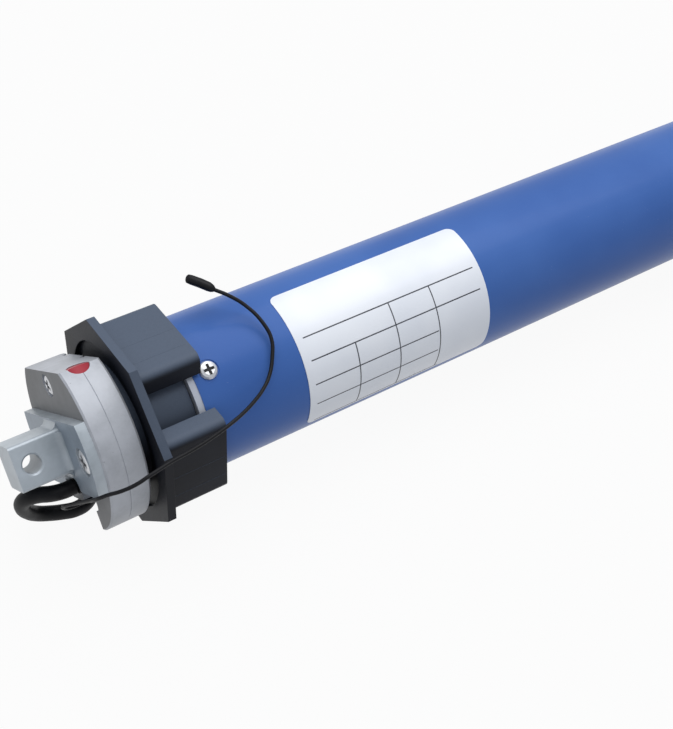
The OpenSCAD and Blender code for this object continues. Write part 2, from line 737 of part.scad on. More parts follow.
module cable_hank() color("#202020") placed() sweep(hank_points, cable_d / 2, 6);

module cable_cores() color("sienna") placed() {
    for (k = [0 : 2]) {
        c = core_offset * [0, cos(120 * k + 90), sin(120 * k + 90)];
        w = [[0, 2, 0.5], [0, 0, 2.5], [0, 3.5, -2.5]][k];
        s = hank_end + c;
        sweep([s, s + [-8, 0, 0], s + [-18, 0, 0] + w, s + [-30, 0, 0] + 2 * w, s + [-36, 0, 0] + 2 * w],
            core_d / 2, 8);
    }
}

// Outer sides of the hank at its waist
waist_in = waist(10);
waist_near = max(hank_r(2 / 24), hank_r(4 + 3 / 24)) - hank_draw * waist_in + cable_d / 2;
waist_far = max(hank_r(14 / 24), hank_r(3 + 15 / 24)) - hank_draw * waist_in + cable_d / 2;
waist_low = tie_lift * waist_in;
waist_top = waist_low + hank_lift + cable_d;
tie_t = 0.9;

module cable_tie() color("black") placed()
    translate([hank_x - 2.25, hank_y + (waist_far - waist_near) / 2, floor_z + (waist_top + waist_low) / 2])
        rotate([90, 0, 90]) {
            tie_w = waist_near + waist_far + 0.7;
            tie_h = waist_top - waist_low + 0.7;
            linear_extrude(4.5) difference() {
                rounded(tie_w + 2 * tie_t, tie_h + 2 * tie_t, 3 + tie_t);
                rounded(tie_w, tie_h, 3);
            }
            translate([tie_w / 2 + tie_t - 0.2, -2.5, -0.6]) cube([3.4, 5, 5.7]);
        }

module antenna_wire() color("#303030") placed() sweep(wire_points, wire_d / 2, 8);

module antenna_sleeve() color("#303030") placed()
    sweep([wire_end, wire_end + 2.5 * heading(wire_points, len(wire_points) - 1), [17.2, 9.2, 38],
        [14.6, 13.3, 38.2]], sleeve_d / 2, 10);

module set_button() color("red") placed() difference() {
    union() {
        button_rod(button_low, disc_r, button_r);
        button_rod(button_low, button_step, button_r + 1);
    }
    // Top sunk a little below the rim and the flat, and dished
    difference() {
        button_rod(button_step + e, disc_r + e, button_r + e);
        head_round(x_disc0) cylinder(h = x_disc1 - x_disc0, r = disc_r - 0.2);
    }
    along(x_disc0) rotate([0, 0, roll]) translate([flat_n - 0.2, -40, 0]) cube([20, 80, cover_t + body_t]);
    translate([x_button, button_y - 10, button_top + sqrt(dish_r * dish_r - button_r * button_r)])
        rotate([-90, 0, 0]) cylinder(h = 20, r = dish_r);
}

module button_spring() color("silver") placed() translate([x_button, button_y, switch_top])
    coil_spring(2, 0.6, button_low - switch_top, 5);

module button_switch() color("dimgray") placed() {
    plunger = button_low - button_travel - 0.2;
    translate([x_button - 3.2, button_y - 3, switch_low]) cube([6.4, 6, switch_top - switch_low]);
    button_rod(switch_top, plunger, 1.1);
}

module crown_wheel() color("#2b2d30") placed() difference() {
    union() {
        along(x_crown0) octagon(crown_af, flange_t);
        rod(x_hub0, x_hub1, hub_r);
        for (k = [0 : 3]) along(x_crown0 + 0.5) rotate([0, 0, 90 * k]) linear_extrude(crown_l + crown_lap - 0.5)
            intersection() {
                translate([finger_n - 16, 0]) rounded(32, finger_w, finger_round);
                translate([finger_low, -30]) square([20, 60]);
            }
    }
    difference() {
        rod(x_crown0 - e, x_crown0 + 1.6, 30);
        rod(x_hub0 - e, x_crown0 + 2 * e, neck_r + 4.5);
    }
    difference() {
        rod(x_hub0 - 2 * e, x_crown0, hub_r + e);
        rod(x_hub0 - 3 * e, x_crown0 + e, neck_r + 4.5);
    }
    rod(x_hub0 - e, x_tooth0 + e, neck_r + hub_fit);
    rod(x_tooth0 - 0.8, x_tooth0, limit_m * (crown_z / 2 + 1.3));
    along(x_tooth0 - 0.1) linear_extrude(x_hub1 - x_tooth0 + e) ring_shape(limit_m, crown_z, roll);
    rod(x_tooth1, x_hub1 + e, limit_m * (crown_z / 2 + 1.3));
    rod(x_hub1, crown_lap + e, finger_r);
}

module limit_housing() color("gray") placed() difference() {
    union() {
        rod(x_neck1, e - collar_t, stub_r);
        rod(-collar_t, 0, collar_r);
        rod(-0.5, limit_l, body_r);
    }
    rod(x_neck1 - e, web_l + e, bore_r);
    rod(web_l, x_board, house_r - 2);
    rod(x_board, limit_l + e, house_r);
    side_rod(x_neck1 - e, x_tooth1 + 0.6, limit_a, roll, limit_m * (pinion_z / 2 + 1.1));
    side_rod(x_neck1, web_l + e, limit_a, roll, limit_pin_r + run_fit);
    for (k = [0 : 2]) {
        side_rod(x_neck1 - e, web_l + e, neck_bolt_r, roll + 60 + 120 * k, m_tube / 2 + bolt_gap);
        side_rod(x_neck_bolt, web_l + e, neck_bolt_r, roll + 60 + 120 * k, m_tube / 2 + 1.8);
        spoke(tube_screw_x, tube_screw_a + 120 * k, tube_r - 7.6, tube_r + e, m_tube / 2 + bolt_gap);
    }
}

module neck_screws() color("silver") placed() {
    for (k = [0 : 2]) along(x_neck_bolt) rotate([0, 0, roll + 60 + 120 * k]) translate([neck_bolt_r, 0, 0])
        mirror([0, 0, 1]) screw(m_tube, neck_bolt_l, m_tube + 3, 2.6);
}

module limit_pinion() color("ivory") placed() {
    x0 = x_tooth0 + 0.2;
    along(x0) rotate([0, 0, roll]) translate([limit_a, 0, 0])
        linear_extrude(x_tooth1 - 0.2 - x0) gear_shape(limit_m, pinion_z, 0);
    side_rod(x0, web_l + 4, limit_a, roll, limit_pin_r);
}

module encoder_magnet() color("darkslategray") placed() side_rod(web_l + 4, web_l + 4 + magnet_t, limit_a, roll, magnet_r);

module encoder_board() color("green") placed() {
    difference() {
        rod(x_board, x_board + board_t, house_r - seat_gap);
        rod(x_board - e, x_board + board_t + e, bore_r);
    }
    side_rod(x_board + board_t, x_board + board_t + 1.2, limit_a, roll, 3);
    along(x_board + board_t) translate([-8, -20, 0]) cube([16, 7, 6]);
}

module electronics_tray() color("gray") placed() {
    along(x_tray0) rotate([0, 0, 180]) rotate_extrude(angle = 180) translate([tray_in, 0])
        square([body_r - tray_in, tray_l]);
    for (x = [x_tray0, x_tray0 + board_l + wall_x, x_tray1 - tray_wall]) difference() {
        rod(x, x + tray_wall, body_r);
        along(x - e) translate([0, 12, 0]) cylinder(h = tray_wall + 2 * e, r = 5);
    }
    for (s = [-1, 1]) along(x_tray0 + 2) intersection() {
        translate([s * (board_w / 2 - 0.5) - 1.5, ledge_z, 0]) cube([3, ledge_t, board_l + 5]);
        cylinder(h = board_l + 5, r = body_r);
    }
}

module receiver_board() color("green") placed() along(x_tray0 + board_x) {
    z0 = ledge_z + ledge_t;
    u = board_l / 14;
    translate([-board_w / 2, z0, 0]) cube([board_w, board_t, board_l]);
    for (i = [0 : 1]) translate([-18, z0 + board_t, u * (1 + 4 * i)]) cube([16, 15, 3.3 * u]);
    translate([4, z0 + board_t, u]) cube([12, 13, 5 * u]);
    translate([2, z0 + board_t, 7 * u]) cube([16, 3, 3.7 * u]);
    translate([-17, z0 + board_t, 9.7 * u]) cube([14, 11, 3.3 * u]);
}

module run_capacitor() color("silver") placed() {
    z = cap_d / 2 + 0.1 - tray_in;
    x = x_tray1 - tray_wall - cap_end - cap_l;
    along(x) translate([0, z, 0]) cylinder(h = cap_l, r = cap_d / 2);
    for (s = [-1, 1]) along(x + cap_l - e) translate([6 * s - 0.4, z - 3.2, 0]) cube([0.8, 6.4, 4 + e]);
}

module front_end_shield() color("silver") placed() difference() {
    union() {
        rod(x_fs0, x_fs1, body_r);
        pipe(x_fs1 - e, x_st0, body_r, body_r - 2.2);
    }
    rod(x_ball1, x_fs1 + e, ball_r + seat_gap);
    rod(x_ball1 - 1, x_ball1 + e, shaft_r + 1);
    for (a = [60, 180, 300]) side_rod(x_fs0 - e, x_fs1 + e, 18, a, 3.5);
}

module ball_ring(x, w, ro, ri) {
    mid = (ro + ri) / 2;
    half = (ro - ri) / 4;
    along(x) rotate_extrude() polygon([[ri, 0], [mid - half, 0], [mid - half, 0.4], [mid + half, 0.4],
        [mid + half, 0], [ro, 0], [ro, w], [mid + half, w], [mid + half, w - 0.4], [mid - half, w - 0.4],
        [mid - half, w], [ri, w]]);
}

module rotor_bearings() color("lightgray") placed() {
    ball_ring(x_ball1, ball_w, ball_r, shaft_r + run_fit);
    ball_ring(x_ball2, ball_w, ball_r, shaft_r + run_fit);
}

module slot_cut(x0, x1, lo, hi, w) {
    for (k = [0 : slots - 1]) along(x0) rotate([0, 0, 30 * k]) translate([lo, -w / 2, 0]) cube([hi - lo, w, x1 - x0]);
}

module stator_core() color("dimgray") placed() difference() {
    rod(x_st0, x_st1, body_r);
    rod(x_st0 - e, x_st1 + e, stator_bore);
    slot_cut(x_st0 - e, x_st1 + e, slot_in, slot_out, slot_w);
    slot_cut(x_st0 - e, x_st1 + e, stator_bore - e, slot_in + 0.1, 1.6);
}

module stator_windings() color("#b5652c") placed() {
    for (x = [x_fs1 + 2, x_st1 + 0.1]) pipe(x, x + turn_room - 2.1, slot_out + 0.5, slot_in - 0.4);
    slot_cut(x_st0 - 2, x_st1 + 2, slot_in + coil_gap, slot_out - coil_gap, slot_w - 2 * coil_gap);
}

module rotor_shaft() color("silver") placed() {
    hex_l = x_rg1 - 2 - x_collar - collar_w;
    rod(x_ball1 - 0.5, x_collar + e, shaft_r);
    rod(x_collar, x_collar + collar_w, 9);
    along(x_collar + collar_w - 0.5) cylinder(h = hex_l + 0.5, r = hex_af / 2 / cos(30), $fn = 6);
    rod(x_rg1 - 3, x_p1, 4.5);
    along(x_p1 - 1) linear_extrude(w_1 + 1) gear_shape(m_1, z_sun, 0);
}

module rotor_core() color("gray") placed() difference() {
    union() {
        rod(x_st0, x_st1, rotor_r);
        rod(x_st0 - 4, x_st1 + 4, rotor_r - 0.6);
    }
    rod(x_st0 - 5, x_st1 + 5, shaft_r + seat_gap);
}

module rear_end_shield() color("silver") placed() difference() {
    union() {
        rod(x_rs0, x_rs1, body_r);
        pipe(x_st1, x_rs0 + e, body_r, body_r - 2.2);
        pipe(x_rs1 - e, x_rg1, body_r, body_r - 3.2);
    }
    rod(x_rs0 - e, x_rs1 - 3, ball_r + seat_gap);
    rod(x_rs0 - e, x_rs1 + e, shaft_r + 1);
}

module brake_spring() color("silver") placed() {
    x0 = x_collar + collar_w;
    l = x_arm0 - x0 - brake_travel - 0.1;
    along(x0) coil_spring(spring_r, spring_wire, l, 4);
}

module brake_armature() color("dimgray") placed() difference() {
    rod(x_arm0, x_arm1, armature_r);
    along(x_arm0 - e) cylinder(h = armature_t + 2 * e, r = (hex_af / 2 + hex_fit) / cos(30), $fn = 6);
}

module brake_lining() color("#6b4a33") placed() pipe(x_rg1 - lining_t, x_rg1, armature_r, armature_r - 8);

module ring_gear(x0, x1, m, z, zp) {
    difference() {
        rod(x0, x1, body_r);
        along(x0 - e) linear_extrude(x1 - x0 + 2 * e) ring_shape(m, z, 180 * (zp - 1) / z);
    }
}

module ring_gear_1() color("#8f9294") placed() {
    ring_gear(x_rg1 + web_t, x_rg2, m_1, z_r1, z_p1);
    pipe(x_rg1, x_rg1 + web_t, body_r, 8);
}

module ring_gear_2() color("#8f9294") placed() ring_gear(x_rg2, x_rg3, m_2, z_r2, z_p2);

module ring_gear_3() color("#8f9294") placed() ring_gear(x_rg3, x_oh0, m_3, z_r3, z_p3);

// Planet k of a stage with its bore
module planet(x, w, m, zp, a, bore, k) {
    t = 120 * k;
    along(x) rotate([0, 0, t]) translate([a, 0, 0]) difference() {
        linear_extrude(w) gear_shape(m, zp, 180 - 180 / zp + t * z_sun / zp);
        translate([0, 0, -e]) cylinder(h = w + 2 * e, r = bore / 2 + run_fit);
    }
}

module planet_1(k) color("#c9a24d") placed() planet(x_p1, w_1, m_1, z_p1, a_1, pin_1, k);

module planet_2(k) color("#c9a24d") placed() planet(x_p2, w_2, m_2, z_p2, a_2, pin_2, k);

module planet_3(k) color("#c9a24d") placed() planet(x_p3, w_3, m_3, z_p3, a_3, pin_3, k);

// Carrier plate with its three pins
module carrier(x, t, l, a, d) {
    rod(x, x + t, carrier_r);
    for (k = [0 : 2]) side_rod(x - l - side_gap - 0.5, x + 0.5, a, 120 * k, d / 2);
}

module carrier_1() color("silver") placed() {
    carrier(x_c1, plate_1, w_1, a_1, pin_1);
    rod(x_c1 + plate_1 - 0.5, x_p2, m_2 * 4.5);
    along(x_p2 - 1) linear_extrude(w_2 + 1) gear_shape(m_2, z_sun, 0);
}

module carrier_2() color("silver") placed() {
    carrier(x_c2, plate_2, w_2, a_2, pin_2);
    rod(x_c2 + plate_2 - 0.5, x_p3, m_3 * 4.5);
    along(x_p3 - 1) linear_extrude(w_3 + 1) gear_shape(m_3, z_sun, 0);
}

module output_shaft() color("silver") placed() difference() {
    union() {
        carrier(x_c3, plate_3, w_3, a_3, pin_3);
        rod(x_c3 + plate_3 - 0.5, x_ob1 - 0.1, shoulder_r);
        difference() {
            rod(x_ob1 - e, x_wheel, out_r);
            pipe(x_ring - 0.05, x_ring + ring_t + 0.05, out_r + e, groove_r);
        }
        along(x_wheel - 0.5) intersection() {
            cylinder(h = wheel_w + 0.4, r = drive_d / 2);
            translate([-drive_af / 2, -20, -e]) cube([drive_af, 40, wheel_w + 4]);
        }
    }
    rod(x_wheel1 - 18, x_wheel1 + e, end_bolt / 2 + bolt_gap);
}

module output_housing() color("silver") placed() difference() {
    union() {
        rod(x_oh0, tube_l + 0.5, body_r);
        rod(tube_l, x_flange_end, collar_r);
    }
    rod(x_oh0 - e, x_ob1 + out_ball_w, out_seat);
    rod(x_oh0, x_ob2 + e, out_seat - 2);
    rod(x_ob2, x_flange_end + e, out_seat);
    for (k = [0 : 3]) spoke(tube_l - rear_screw_x, 45 + 90 * k, tube_r - 5.5, tube_r + e, m_tube / 2 + bolt_gap);
}

module output_bearings() color("lightgray") placed() {
    ball_ring(x_ob1, out_ball_w, out_seat - seat_gap, out_r + run_fit);
    ball_ring(x_ob2, out_ball_w, out_seat - seat_gap, out_r + run_fit);
}

module output_seal() color("#1c1c1c") placed() along(x_seal) rotate_extrude() polygon([[out_r + run_fit, 0],
    [out_seat - seat_gap, 0], [out_seat - seat_gap, x_flange_end - x_seal - 0.3],
    [out_r + 3, x_flange_end - x_seal - 0.3], [out_r + run_fit, x_flange_end - x_seal - 1.8]]);

module retaining_ring() color("dimgray") placed() difference() {
    pipe(x_ring, x_ring + ring_t, out_r + 2.5, groove_r + seat_gap);
    along(x_ring - e) translate([0, -4, 0]) cube([30, 8, ring_t + 2 * e]);
}

module drive_wheel() color("#2b2d30") placed() {
    rim_in = wheel_af / 2 - wheel_rim;
    difference() {
        union() {
            difference() {
                along(x_wheel) octagon(wheel_af, wheel_w);
                rod(x_wheel - e, x_wheel1 + e, rim_in);
            }
            rod(x_wheel + wheel_w / 2 - 3, x_wheel + wheel_w / 2 + 3, rim_in + 0.5);
            rod(x_wheel, x_wheel1, 14);
            for (k = [0 : 7]) along(x_wheel) rotate([0, 0, 45 * k + 22.5]) translate([12, -1.5, 0])
                cube([rim_in - 11.5, 3, wheel_w]);
        }
        along(x_wheel - e) intersection() {
            cylinder(h = wheel_w + 2 * e, r = drive_d / 2 + drive_fit);
            translate([-drive_af / 2 - drive_fit, -20, 0]) cube([drive_af + 2 * drive_fit, 40, wheel_w + 4]);
        }
    }
}

module wheel_washer() color("silver") placed() pipe(x_wheel1, x_wheel1 + washer_t, washer_d / 2, end_bolt / 2 + 0.2);

module wheel_screw() color("silver") placed() along(x_wheel1 + washer_t) difference() {
    union() {
        translate([0, 0, -17]) cylinder(h = 17, r = end_bolt / 2);
        cylinder(h = end_head_t, r = 1.9 * end_bolt / 2 / cos(30) * 0.87, $fn = 6);
    }
    translate([0, 0, end_head_t - 0.6]) cylinder(h = e, r = 3);
}

motor_tube();
rating_label();
tube_screws();
head_body();
head_cover();
pin_bracket();
bracket_screws();
cover_screw();
cable_gland();
mains_cable();
cable_hank();
cable_cores();
cable_tie();
antenna_wire();
antenna_sleeve();
set_button();
button_spring();
button_switch();
crown_wheel();
limit_housing();
neck_screws();
limit_pinion();
encoder_magnet();
encoder_board();
electronics_tray();
receiver_board();
run_capacitor();
front_end_shield();
rotor_bearings();
stator_core();
stator_windings();
rotor_shaft();
rotor_core();
rear_end_shield();
brake_spring();
brake_armature();
brake_lining();
ring_gear_1();
ring_gear_2();
ring_gear_3();
planet_1(0);  // planet_1a
planet_1(1);  // planet_1b
planet_1(2);  // planet_1c
carrier_1();
planet_2(0);  // planet_2a
planet_2(1);  // planet_2b
planet_2(2);  // planet_2c
carrier_2();
planet_3(0);  // planet_3a
planet_3(1);  // planet_3b
planet_3(2);  // planet_3c
output_shaft();
output_housing();
output_bearings();
output_seal();
retaining_ring();
drive_wheel();
wheel_washer();
wheel_screw();
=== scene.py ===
import math

import bmesh
import bpy
from mathutils import Matrix, Vector


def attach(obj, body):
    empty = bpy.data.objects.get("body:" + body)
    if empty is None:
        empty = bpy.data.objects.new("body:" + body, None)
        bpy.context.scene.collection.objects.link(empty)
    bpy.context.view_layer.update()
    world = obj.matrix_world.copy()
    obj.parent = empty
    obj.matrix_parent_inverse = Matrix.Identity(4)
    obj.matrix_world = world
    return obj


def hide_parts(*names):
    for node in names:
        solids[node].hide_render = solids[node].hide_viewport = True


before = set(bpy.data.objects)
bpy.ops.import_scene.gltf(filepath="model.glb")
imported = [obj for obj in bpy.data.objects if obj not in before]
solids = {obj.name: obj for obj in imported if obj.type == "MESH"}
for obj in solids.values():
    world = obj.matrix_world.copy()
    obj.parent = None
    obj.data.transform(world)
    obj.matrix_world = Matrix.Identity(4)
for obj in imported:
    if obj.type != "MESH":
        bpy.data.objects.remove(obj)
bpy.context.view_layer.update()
print("frame loaded with", len(solids), "solids")

# lengths in millimetres, x from the front end of the tube, y and z from its axis
motor = {"middleX": 256.0, "axisHeight": 35.55, "tubeRadius": 27.5, "roll": 54}


def spot(x, y, z):
    return Vector(((x - motor["middleX"]) / 1000, y / 1000, (z + motor["axisHeight"]) / 1000))


def around(x, radius, turn):
    angle = math.radians(turn)
    return spot(x, radius * math.cos(angle), radius * math.sin(angle))


def headSpot(x, up, side):
    angle = math.radians(motor["roll"])
    return spot(x, up * math.cos(angle) - side * math.sin(angle), up * math.sin(angle) + side * math.cos(angle))


def newPiece(name, mesh, body="motor"):
    piece = bpy.data.objects.new(name, mesh)
    bpy.context.scene.collection.objects.link(piece)
    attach(piece, body)
    return piece


# camera, where the photograph was taken from
cameraSpec = {
    "place": (-0.3888, -0.2639, 0.32865),
    "lens": 64.19,
    "right": (0.8210, -0.5686, 0.0519),
    "up": (0.3581, 0.5835, 0.7289),
    "ahead": (0.4447, 0.5799, -0.6826),
}
cameraData = bpy.data.cameras.new("camera")
cameraData.lens = cameraSpec["lens"]
cameraData.sensor_width = 36
cameraData.sensor_fit = "HORIZONTAL"
cameraData.clip_start = 0.01
camera = bpy.data.objects.new("camera", cameraData)
ahead = Vector(cameraSpec["ahead"]).normalized()
right = Vector(cameraSpec["right"])
right = (right - ahead * right.dot(ahead)).normalized()
turned = Matrix((right, right.cross(ahead), -ahead)).transposed().to_4x4()
camera.matrix_world = Matrix.Translation(cameraSpec["place"]) @ turned
bpy.context.scene.collection.objects.link(camera)
bpy.context.scene.camera = camera
print("camera placed")


# cords: one open curve each
def makeCord(name, points, diameter, sides=8):
    data = bpy.data.curves.new(name, "CURVE")
    data.dimensions = "3D"
    data.bevel_depth = diameter * 500
    data.bevel_resolution = sides
    data.resolution_u = 6
    data.use_fill_caps = True
    spline = data.splines.new("BEZIER")
    spline.bezier_points.add(len(points) - 1)
    for knot, point in zip(spline.bezier_points, points):
        knot.co = point
        knot.radius = 0.001
        knot.handle_left_type = knot.handle_right_type = "AUTO"
    return newPiece(name, data)


cableSpec = {
    "diameter": 5.5,
    "length": 2.107,
    "exit": (-42, -8.2, -11.3),
    "lying": -32.8,  # height of its centre line on the floor
    "loop": [
        (-42, -8.2, -11.3), (-46.3, -8.1, -11.3), (-50.1, -6.9, -11.5), (-52.9, -4.9, -12.2), (-55.7, -2.8, -13.8),
        (-57.5, -0.5, -17.2), (-57.5, 1.1, -21.5), (-55.6, 2.6, -26.5), (-52.3, 3.5, -30.6), (-48.2, 2.9, -32.5),
    ],
    "onFloor": [
        (-44, 1.3), (-39.9, 0.1), (-35.6, 0.8), (-32, 4), (-29.4, 8.8), (-27.6, 14), (-26.5, 20), (-25, 27),
        (-21, 33), (-13, 36.6), (-2, 37), (10, 34), (22, 29), (36, 24.5), (52, 22.5), (68, 22), (84, 22),
        (100, 22), (116, 22.5), (132, 23), (148, 23.5), (164, 24), (180, 23.5), (196, 23), (212, 22.5),
        (228, 22), (244, 21.5), (260, 21), (276, 21), (290, 21), (302, 21), (316, 21), (332, 21), (346, 21),
    ],
    "hankPlace": (416, 52),
    "half": 50,  # half the length of the hank's straight runs
    "inner": 17.2,  # radius of its innermost loop
    "draw": 13.9,  # how far the tie draws the runs in
    "step": 6.9,
    "startRun": 6,  # straight bit before the first loop and after the last
    "lift": 6.2,
    "tieLift": 1.4,
    "climb": 5 / 24,
    "turns": 4.5,
}


# the hank: two loops in, a climb and two loops out, drawn in at the tie
def hankPoint(turn):
    spec = cableSpec
    stepAlong = (turn - math.floor(turn + 0.00001)) * 24
    later = 2 + spec["climb"]
    if turn <= 2:
        radius = spec["inner"] + (2 - turn) * spec["step"]
    else:
        radius = spec["inner"] + max(0, turn - later) * spec["step"]
    rise = spec["lift"] * min(1, max(0, (turn - 2) / spec["climb"]))

    def onRun(x, side):
        waist = 0 if abs(x) >= spec["half"] else (1 + math.cos(math.pi * x / spec["half"])) / 2
        return x, side * (radius - spec["draw"] * waist), rise + spec["tieLift"] * waist

    def onBend(x, angle):
        return x + radius * math.cos(angle), radius * math.sin(angle), rise

    if stepAlong < 5:
        local = onRun(20 * stepAlong - spec["half"], -1)
    elif stepAlong < 12:
        local = onBend(spec["half"], math.radians((stepAlong - 5) * 180 / 7 - 90))
    elif stepAlong < 17:
        local = onRun(spec["half"] - 20 * (stepAlong - 12), 1)
    else:
        local = onBend(-spec["half"], math.radians((stepAlong - 17) * 180 / 7 + 90))
    return tuple(a + b for a, b in zip((*spec["hankPlace"], spec["lying"]), local))


hankX, hankY = cableSpec["hankPlace"]
lying, loopStep = cableSpec["lying"], cableSpec["step"]
hankStart = (hankX - cableSpec["half"] - cableSpec["startRun"], hankY - cableSpec["inner"] - 2 * loopStep, lying)
hankRoute = [hankPoint(k / 24) for k in range(int(24 * cableSpec["turns"]) + 1)]
lastLoop = cableSpec["inner"] + (cableSpec["turns"] - 2 - cableSpec["climb"]) * loopStep
cableEnd = (hankX + cableSpec["half"] - cableSpec["startRun"], hankY + lastLoop, lying + cableSpec["lift"])
floorRoute = [(x, y, lying) for x, y in cableSpec["onFloor"]]
cableRoute = [spot(*p) for p in cableSpec["loop"] + floorRoute + [hankStart] + hankRoute + [cableEnd]]
mainsLead = makeCord("mainsLead", cableRoute, cableSpec["diameter"] / 1000)
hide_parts("mains_cable", "cable_hank")

antennaSpec = {
    "diameter": 1.3,
    "length": 0.159,
    "exit": (-34, -11.9, -16.4),
    "route": [
        (-34, -11.9, -16.4), (-39, -11.9, -16.4), (-43, -11.9, -16.4), (-46.3, -12, -15.8), (-48.4, -12.8, -13.8),
        (-48.6, -14.4, -11.2), (-47.8, -16.5, -8.9), (-46.4, -19, -6.6), (-45, -22.4, -3.3), (-43.9, -26, 0.2),
        (-43.1, -30.7, 5.3), (-40.6, -32.9, 7.7), (-37.3, -35.2, 9.6), (-32.9, -36.8, 11.5), (-28.1, -37.3, 13.4),
        (-20.2, -36.8, 14.7), (-12.3, -36.4, 15.3), (-4.5, -35.6, 16.1), (2.6, -34.6, 17.3), (8.3, -32.8, 17.5),
        (13.8, -30.4, 17.7), (19.1, -27.3, 17.8), (23.9, -23.7, 19), (27.7, -19.4, 22.2), (30, -15.1, 25.8),
        (29.7, -10.1, 29.3), (27.3, -3.2, 32.7), (23.5, 1.3, 35.5), (19.8, 5.1, 37.1),
    ],
    "sleeve": [
        (20.1, 4.8, 36.9, 0.75), (19.6, 5.45, 37.2, 1.3), (18.9, 6.5, 37.6, 1.6), (17.2, 9.2, 38.0, 1.65),
        (15.4, 12.05, 38.15, 1.65), (14.7, 13.15, 38.2, 1.5), (14.5, 13.45, 38.2, 1.1),
    ],
}
antenna = makeCord("antennaWire", [spot(*p) for p in antennaSpec["route"]], antennaSpec["diameter"] / 1000, 5)
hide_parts("antenna_wire")


# tube of changing radius along a line of points (x, y, z, radius), in millimetres
def taperedTube(name, rings, sides=24):
    build = bmesh.new()
    places = [spot(*r[:3]) for r in rings]
    side = Vector((0, 0, 1))
    loops = []
    for k, ring in enumerate(rings):
        heading = (places[min(k + 1, len(places) - 1)] - places[max(k - 1, 0)]).normalized()
        side = (side - heading * side.dot(heading)).normalized()
        other = heading.cross(side)
        loops.append([
            build.verts.new(places[k] + (side * math.cos(a) + other * math.sin(a)) * ring[3] / 1000)
            for a in (2 * math.pi * n / sides for n in range(sides))
        ])
    for first, second in zip(loops, loops[1:]):
        for n in range(sides):
            m = (n + 1) % sides
            build.faces.new((first[n], first[m], second[m], second[n]))
    build.faces.new(loops[0][::-1])
    build.faces.new(loops[-1])
    bmesh.ops.recalc_face_normals(build, faces=build.faces)
    mesh = bpy.data.meshes.new(name)
    build.to_mesh(mesh)
    build.free()
    for face in mesh.polygons:
        face.use_smooth = True
    return mesh


antennaSleeve = newPiece("antennaSleeve", taperedTube("antennaSleeve", antennaSpec["sleeve"]))
antennaSleeve.data.set_sharp_from_angle(angle=math.radians(50))
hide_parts("antenna_sleeve")

# bare cores at the far end of the lead, with bright copper at their tips
coreSpec = {
    "diameter": 2.1,
    "offset": 1.35,
    "bends": [(0, 2, 0.5), (0, 0, 2.5), (0, 3.5, -2.5)],
    "names": ["coreBrown", "coreBlue", "coreEarth"],
    "line": [(0.5, 0), (0, 0), (-8, 0.08), (-18, 1), (-29, 1.95)],  # way along x, share of the bend
    "strand": [(-0.4, 0.7), (0, 0.7), (5.6, 0.7), (6.6, 0.62), (7, 0.4)],  # way past the jacket, radius
}
cores, coreTips = [], []
for k, name in enumerate(coreSpec["names"]):
    angle = math.radians(120 * k + 90)
    start = Vector(cableEnd) + coreSpec["offset"] * Vector((0, math.cos(angle), math.sin(angle)))
    bend = Vector(coreSpec["bends"][k])
    route = [start + Vector((x, 0, 0)) + share * bend for x, share in coreSpec["line"]]
    radius = coreSpec["diameter"] / 2
    cores.append(newPiece(name, taperedTube(name, [(*p, radius) for p in route], 20)))
    cores[-1].data.set_sharp_from_angle(angle=math.radians(50))
    tip = route[-1]
    strand = [(*(tip + Vector((-past, 0, 0))), r) for past, r in coreSpec["strand"]]
    coreTips.append(newPiece(name + "Tip", taperedTube(name + "Tip", strand, 16)))
    for piece in (cores[-1], coreTips[-1]):
        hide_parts("cable_cores")

print("cords laid")


# one socket of a material, so that plain sums add its Math nodes
class Link:
    def __init__(self, tree, socket):
        self.tree, self.socket = tree, socket

    def maths(self, operation, first, second):
        made = self.tree.nodes.new("ShaderNodeMath")
        made.operation = operation
        for place, value in zip(made.inputs, (first, second)):
            if isinstance(value, Link):
                self.tree.links.new(value.socket, place)
            else:
                place.default_value = value
        return Link(self.tree, made.outputs[0])

    def __add__(self, other):
        return self.maths("ADD", self, other)

    def __radd__(self, other):
        return self.maths("ADD", other, self)

    def __sub__(self, other):
        return self.maths("SUBTRACT", self, other)

    def __rsub__(self, other):
        return self.maths("SUBTRACT", other, self)

    def __mul__(self, other):
        return self.maths("MULTIPLY", self, other)

    def __rmul__(self, other):
        return self.maths("MULTIPLY", other, self)


socketNames = {
    "color": "Base Color", "roughness": "Roughness", "metallic": "Metallic", "normal": "Normal",
    "coat": "Coat Weight", "coatRoughness": "Coat Roughness", "specular": "Specular IOR Level",
}


